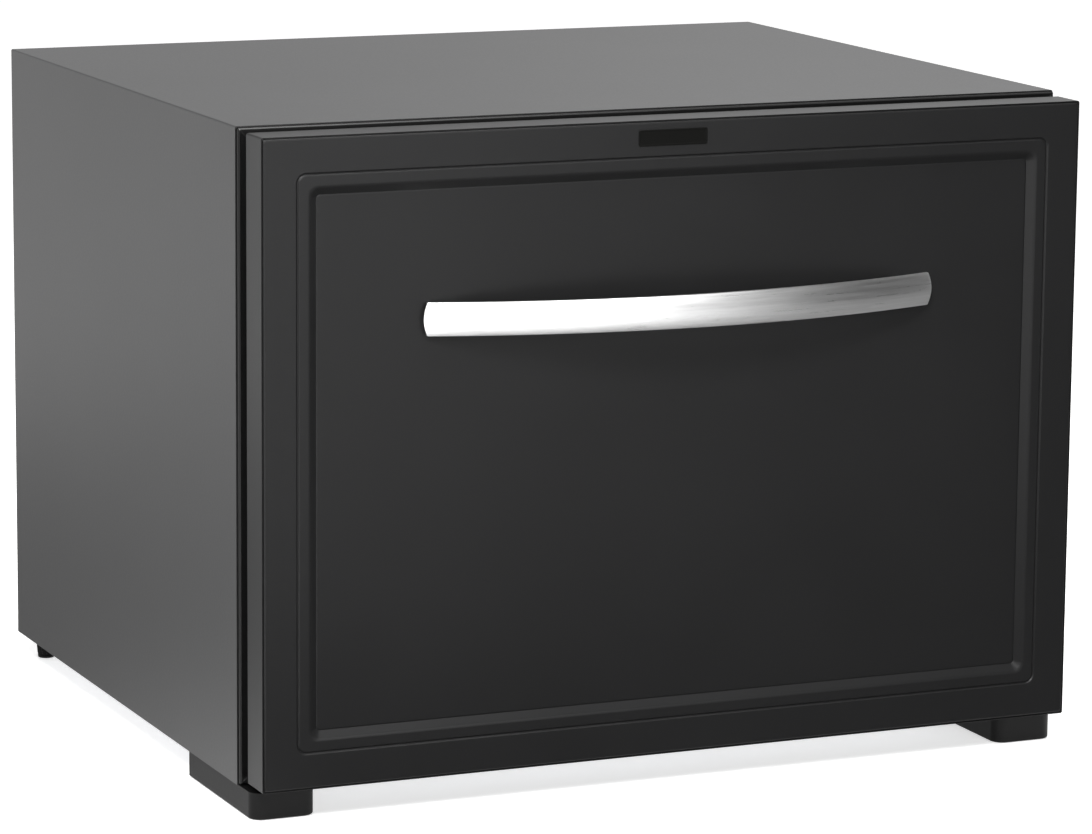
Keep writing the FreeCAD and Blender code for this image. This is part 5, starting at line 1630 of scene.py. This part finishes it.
@dataclass
class Studio:
    """A pale floor, a white surround, soft lamps, dark sheets that only gloss sees and that paint dark reflections
    and shade, and the camera.
    """

    camera_place: Point = (-1.2649, -2.922, 0.7897)
    azimuth: float = -23.55
    pitch: float = -10.57
    roll: float = 0.486
    lens: float = 160.1
    sensor: float = 36.0
    clip: Spot = (0.05, 60.0)
    floor_size: float = 16.0
    floor_level: float = -0.0005
    floor_tones: Spot = (0.82, 0.84)
    floor_lift: float = 0.5
    floor_white: float = 0.1
    surround: float = 0.45
    # Brightness of the painted dark reflections beside the camera and high behind the object.
    cloth_tone: float = 0.03
    # Painted dark reflection beside the camera: it darkens the right of the front and the handle's right end.
    flag_low: Point = (-0.3, -0.9, 0.0)
    flag_high: Point = (2.6, -0.9, 1.3)
    flag_fade: float = 1.2
    # Painted dark reflection high behind the object: it gives dark lines along rounded edges.
    drape_low: Point = (-2.6, 2.6, 0.9)
    drape_high: Point = (1.4, 2.6, 4.0)
    drape_fade: float = 1.0
    # Painted floor shade seen only in gloss: darker floor reflections in front of the drawer and beside the back of
    # the left side.
    mats: tuple[Mat, ...] = (Mat("mat", (-0.2, -0.75), (2.2, -0.2325), 0.3, 0.25, 0.019),
                             Mat("runner", (-0.6, 0.36), (-0.28, 0.8), 0.8, 0.52, -0.00025))
    aim: Point = (0.0, 0.0, 0.2)
    lamps: tuple[Lamp, ...] = (Lamp("front_softbox", (0.35, -2.8, 1.05), 1.0, 20.0),
                               Lamp("side_softbox", (-2.6, -1.2, 1.6), 1.4, 12.0),
                               Lamp("top_softbox", (0.0, 0.2, 2.8), 2.0, 10.0),
                               Lamp("key_softbox", (-1.15, -1.76, 1.95), 0.7, 75.0),
                               Lamp("overhead_softbox", (0.1, -0.6, 2.25), 0.9, 38.0))

    def camera(self) -> None:
        """Set the camera where it looks down at the front and the left side."""
        turn, dip, tilt = math.radians(-self.azimuth), math.radians(-self.pitch), math.radians(self.roll)
        ahead = Vector((math.sin(turn) * math.cos(dip), math.cos(turn) * math.cos(dip), -math.sin(dip)))
        level = Vector((math.cos(turn), -math.sin(turn), 0))
        right = level * math.cos(tilt) + level.cross(ahead) * math.sin(tilt)
        data = bpy.data.cameras.new("camera")
        data.lens = self.lens
        data.sensor_width = self.sensor
        data.clip_start, data.clip_end = self.clip
        camera = add_object("camera", data)
        camera.matrix_world = Matrix.Translation(self.camera_place) @ Matrix(
            (right, right.cross(ahead), -ahead)).transposed().to_4x4()
        bpy.context.scene.camera = camera

    @staticmethod
    def seen(board: Board) -> Wire:
        """1 for rays from the camera, from gloss and through glass, otherwise 0."""
        camera, gloss, glass = (board.put("ShaderNodeLightPath", out=f"Is {kind} Ray")
                                for kind in ("Camera", "Glossy", "Transmission"))
        return camera.at_least(gloss).at_least(glass)

    def world(self) -> None:
        """A white surround for what sees it, at a plain level for the light that it gives."""
        world = bpy.data.worlds.new("surround")
        bpy.context.scene.world = world
        board = Board.on(world)
        strength = self.surround + (1.0 - self.surround) * self.seen(board)
        background = board.put("ShaderNodeBackground", None, {"Color": (1, 1, 1, 1), "Strength": strength})
        board.put("ShaderNodeOutputWorld", None, {"Surface": background})

    def sheet(self, name: str, corners: Sequence[Point], surface: Callable[[Board, Wire], Wire]) -> bpy.types.Object:
        """A flat sheet of the studio.

        Args:
            name: Its name.
            corners: Its four corners.
            surface: Builds its shader from the tree and the point on it.

        Returns:
            The sheet.
        """
        mesh = bpy.data.meshes.new(name)
        mesh.from_pydata(list(corners), [], [(0, 1, 2, 3)])
        material = bpy.data.materials.new(name + "_paper")
        board = Board.on(material)
        shader = surface(board, board.put("ShaderNodeTexCoord", out="Object"))
        board.put("ShaderNodeOutputMaterial", None, {"Surface": shader})
        mesh.materials.append(material)
        made = add_object(name, mesh)
        return made

    def floor(self) -> None:
        """A plain pale floor, lifted to white where the camera or gloss sees its open parts."""
        def paper(board: Board, place: Wire) -> Wire:
            """Matt paper that glows a little for what looks at it, most of all for the camera.

            Args:
                board: The paper's tree.
                place: The point on it.

            Returns:
                Its shader.
            """
            tone = board.between(board.noise(place, 3), *((level,) * 3 for level in self.floor_tones))
            matt = board.put("ShaderNodeBsdfDiffuse", None, {"Color": tone})
            lift = self.floor_lift * self.seen(board)
            lift = lift + self.floor_white * board.put("ShaderNodeLightPath", out="Is Camera Ray")
            glow = board.put("ShaderNodeEmission", None, {"Color": (1, 1, 1, 1), "Strength": lift})
            return board.put("ShaderNodeAddShader", None, {0: matt, 1: glow})

        half = self.floor_size / 2
        self.sheet("floor", level_sheet((-half, -half), (half, half), self.floor_level), paper)

    def cloth(self, name: str, corners: Sequence[Point], tone: float, cover: Callable[[list[Wire]], Wire]) -> None:
        """A dark sheet that only gloss sees, which paints dark reflections.

        Args:
            name: Its name.
            corners: Its four corners.
            tone: How bright it looks.
            cover: Gives how far it covers, above 1 for all and below 0 for nothing, from the point's X, Y and Z.
        """
        def weave(board: Board, place: Wire) -> Wire:
            """Painted dark reflection where it covers, otherwise clear.

            Args:
                board: The cloth's tree.
                place: The point on it.

            Returns:
                Its shader.
            """
            parts = [board.put("ShaderNodeSeparateXYZ", None, {"Vector": place}, out=axis) for axis in "XYZ"]
            smooth = board.put("ShaderNodeMapRange", {"interpolation_type": "SMOOTHSTEP"}, {"Value": cover(parts)})
            dark = board.put("ShaderNodeEmission", None, {"Color": (1, 1, 1, 1), "Strength": tone})
            clear = board.put("ShaderNodeBsdfTransparent")
            return board.put("ShaderNodeMixShader", None, {0: smooth, 1: clear, 2: dark})

        made = self.sheet(name, corners, weave)
        # Only gloss rays see these sheets: they paint dark reflections and cast no shadow.
        made.visible_camera = made.visible_diffuse = made.visible_shadow = made.visible_transmission = False

    def flag_cover(self, at: list[Wire]) -> Wire:
        """The painted dark reflection beside the camera covers more and more towards its right end."""
        return (at[0] - self.flag_low[0]) / self.flag_fade

    def drape_cover(self, at: list[Wire]) -> Wire:
        """The painted dark reflection high behind the object covers more with its height, and less towards its right
        end.
        """
        return ((at[2] - self.drape_low[2]) / self.drape_fade).at_most((self.drape_high[0] - at[0]) / self.drape_fade)

    def cloths(self) -> None:
        """Painted dark reflections beside the camera and high behind the object, and two sheets of painted floor
        shade by it, all with soft edges.
        """
        self.cloth("flag", upright_sheet(self.flag_low, self.flag_high), self.cloth_tone, self.flag_cover)
        self.cloth("drape", upright_sheet(self.drape_low, self.drape_high), self.cloth_tone, self.drape_cover)
        for mat in self.mats:
            self.cloth(mat.name, mat.corners(), mat.tone, mat.cover)

    def build(self) -> None:
        """Set up the studio."""
        self.camera()
        self.world()
        self.floor()
        self.cloths()
        for lamp in self.lamps:
            lamp.build(Vector(self.aim))
        bpy.context.scene.view_settings.view_transform = "Standard"


def main() -> None:
    """Build the studio and every sub-assembly in order."""
    logging.basicConfig(level=logging.INFO, format="%(name)s: %(message)s")
    for part in (Studio(), Cabinet(), Feet(), DrawerFront(), Handle(), Slides(), DrawerBox(), CoolingUnit(),
                 Electrics()):
        part.build()
        LOG.info("finished %s", type(part).__name__)


if __name__ == "__main__":
    main()
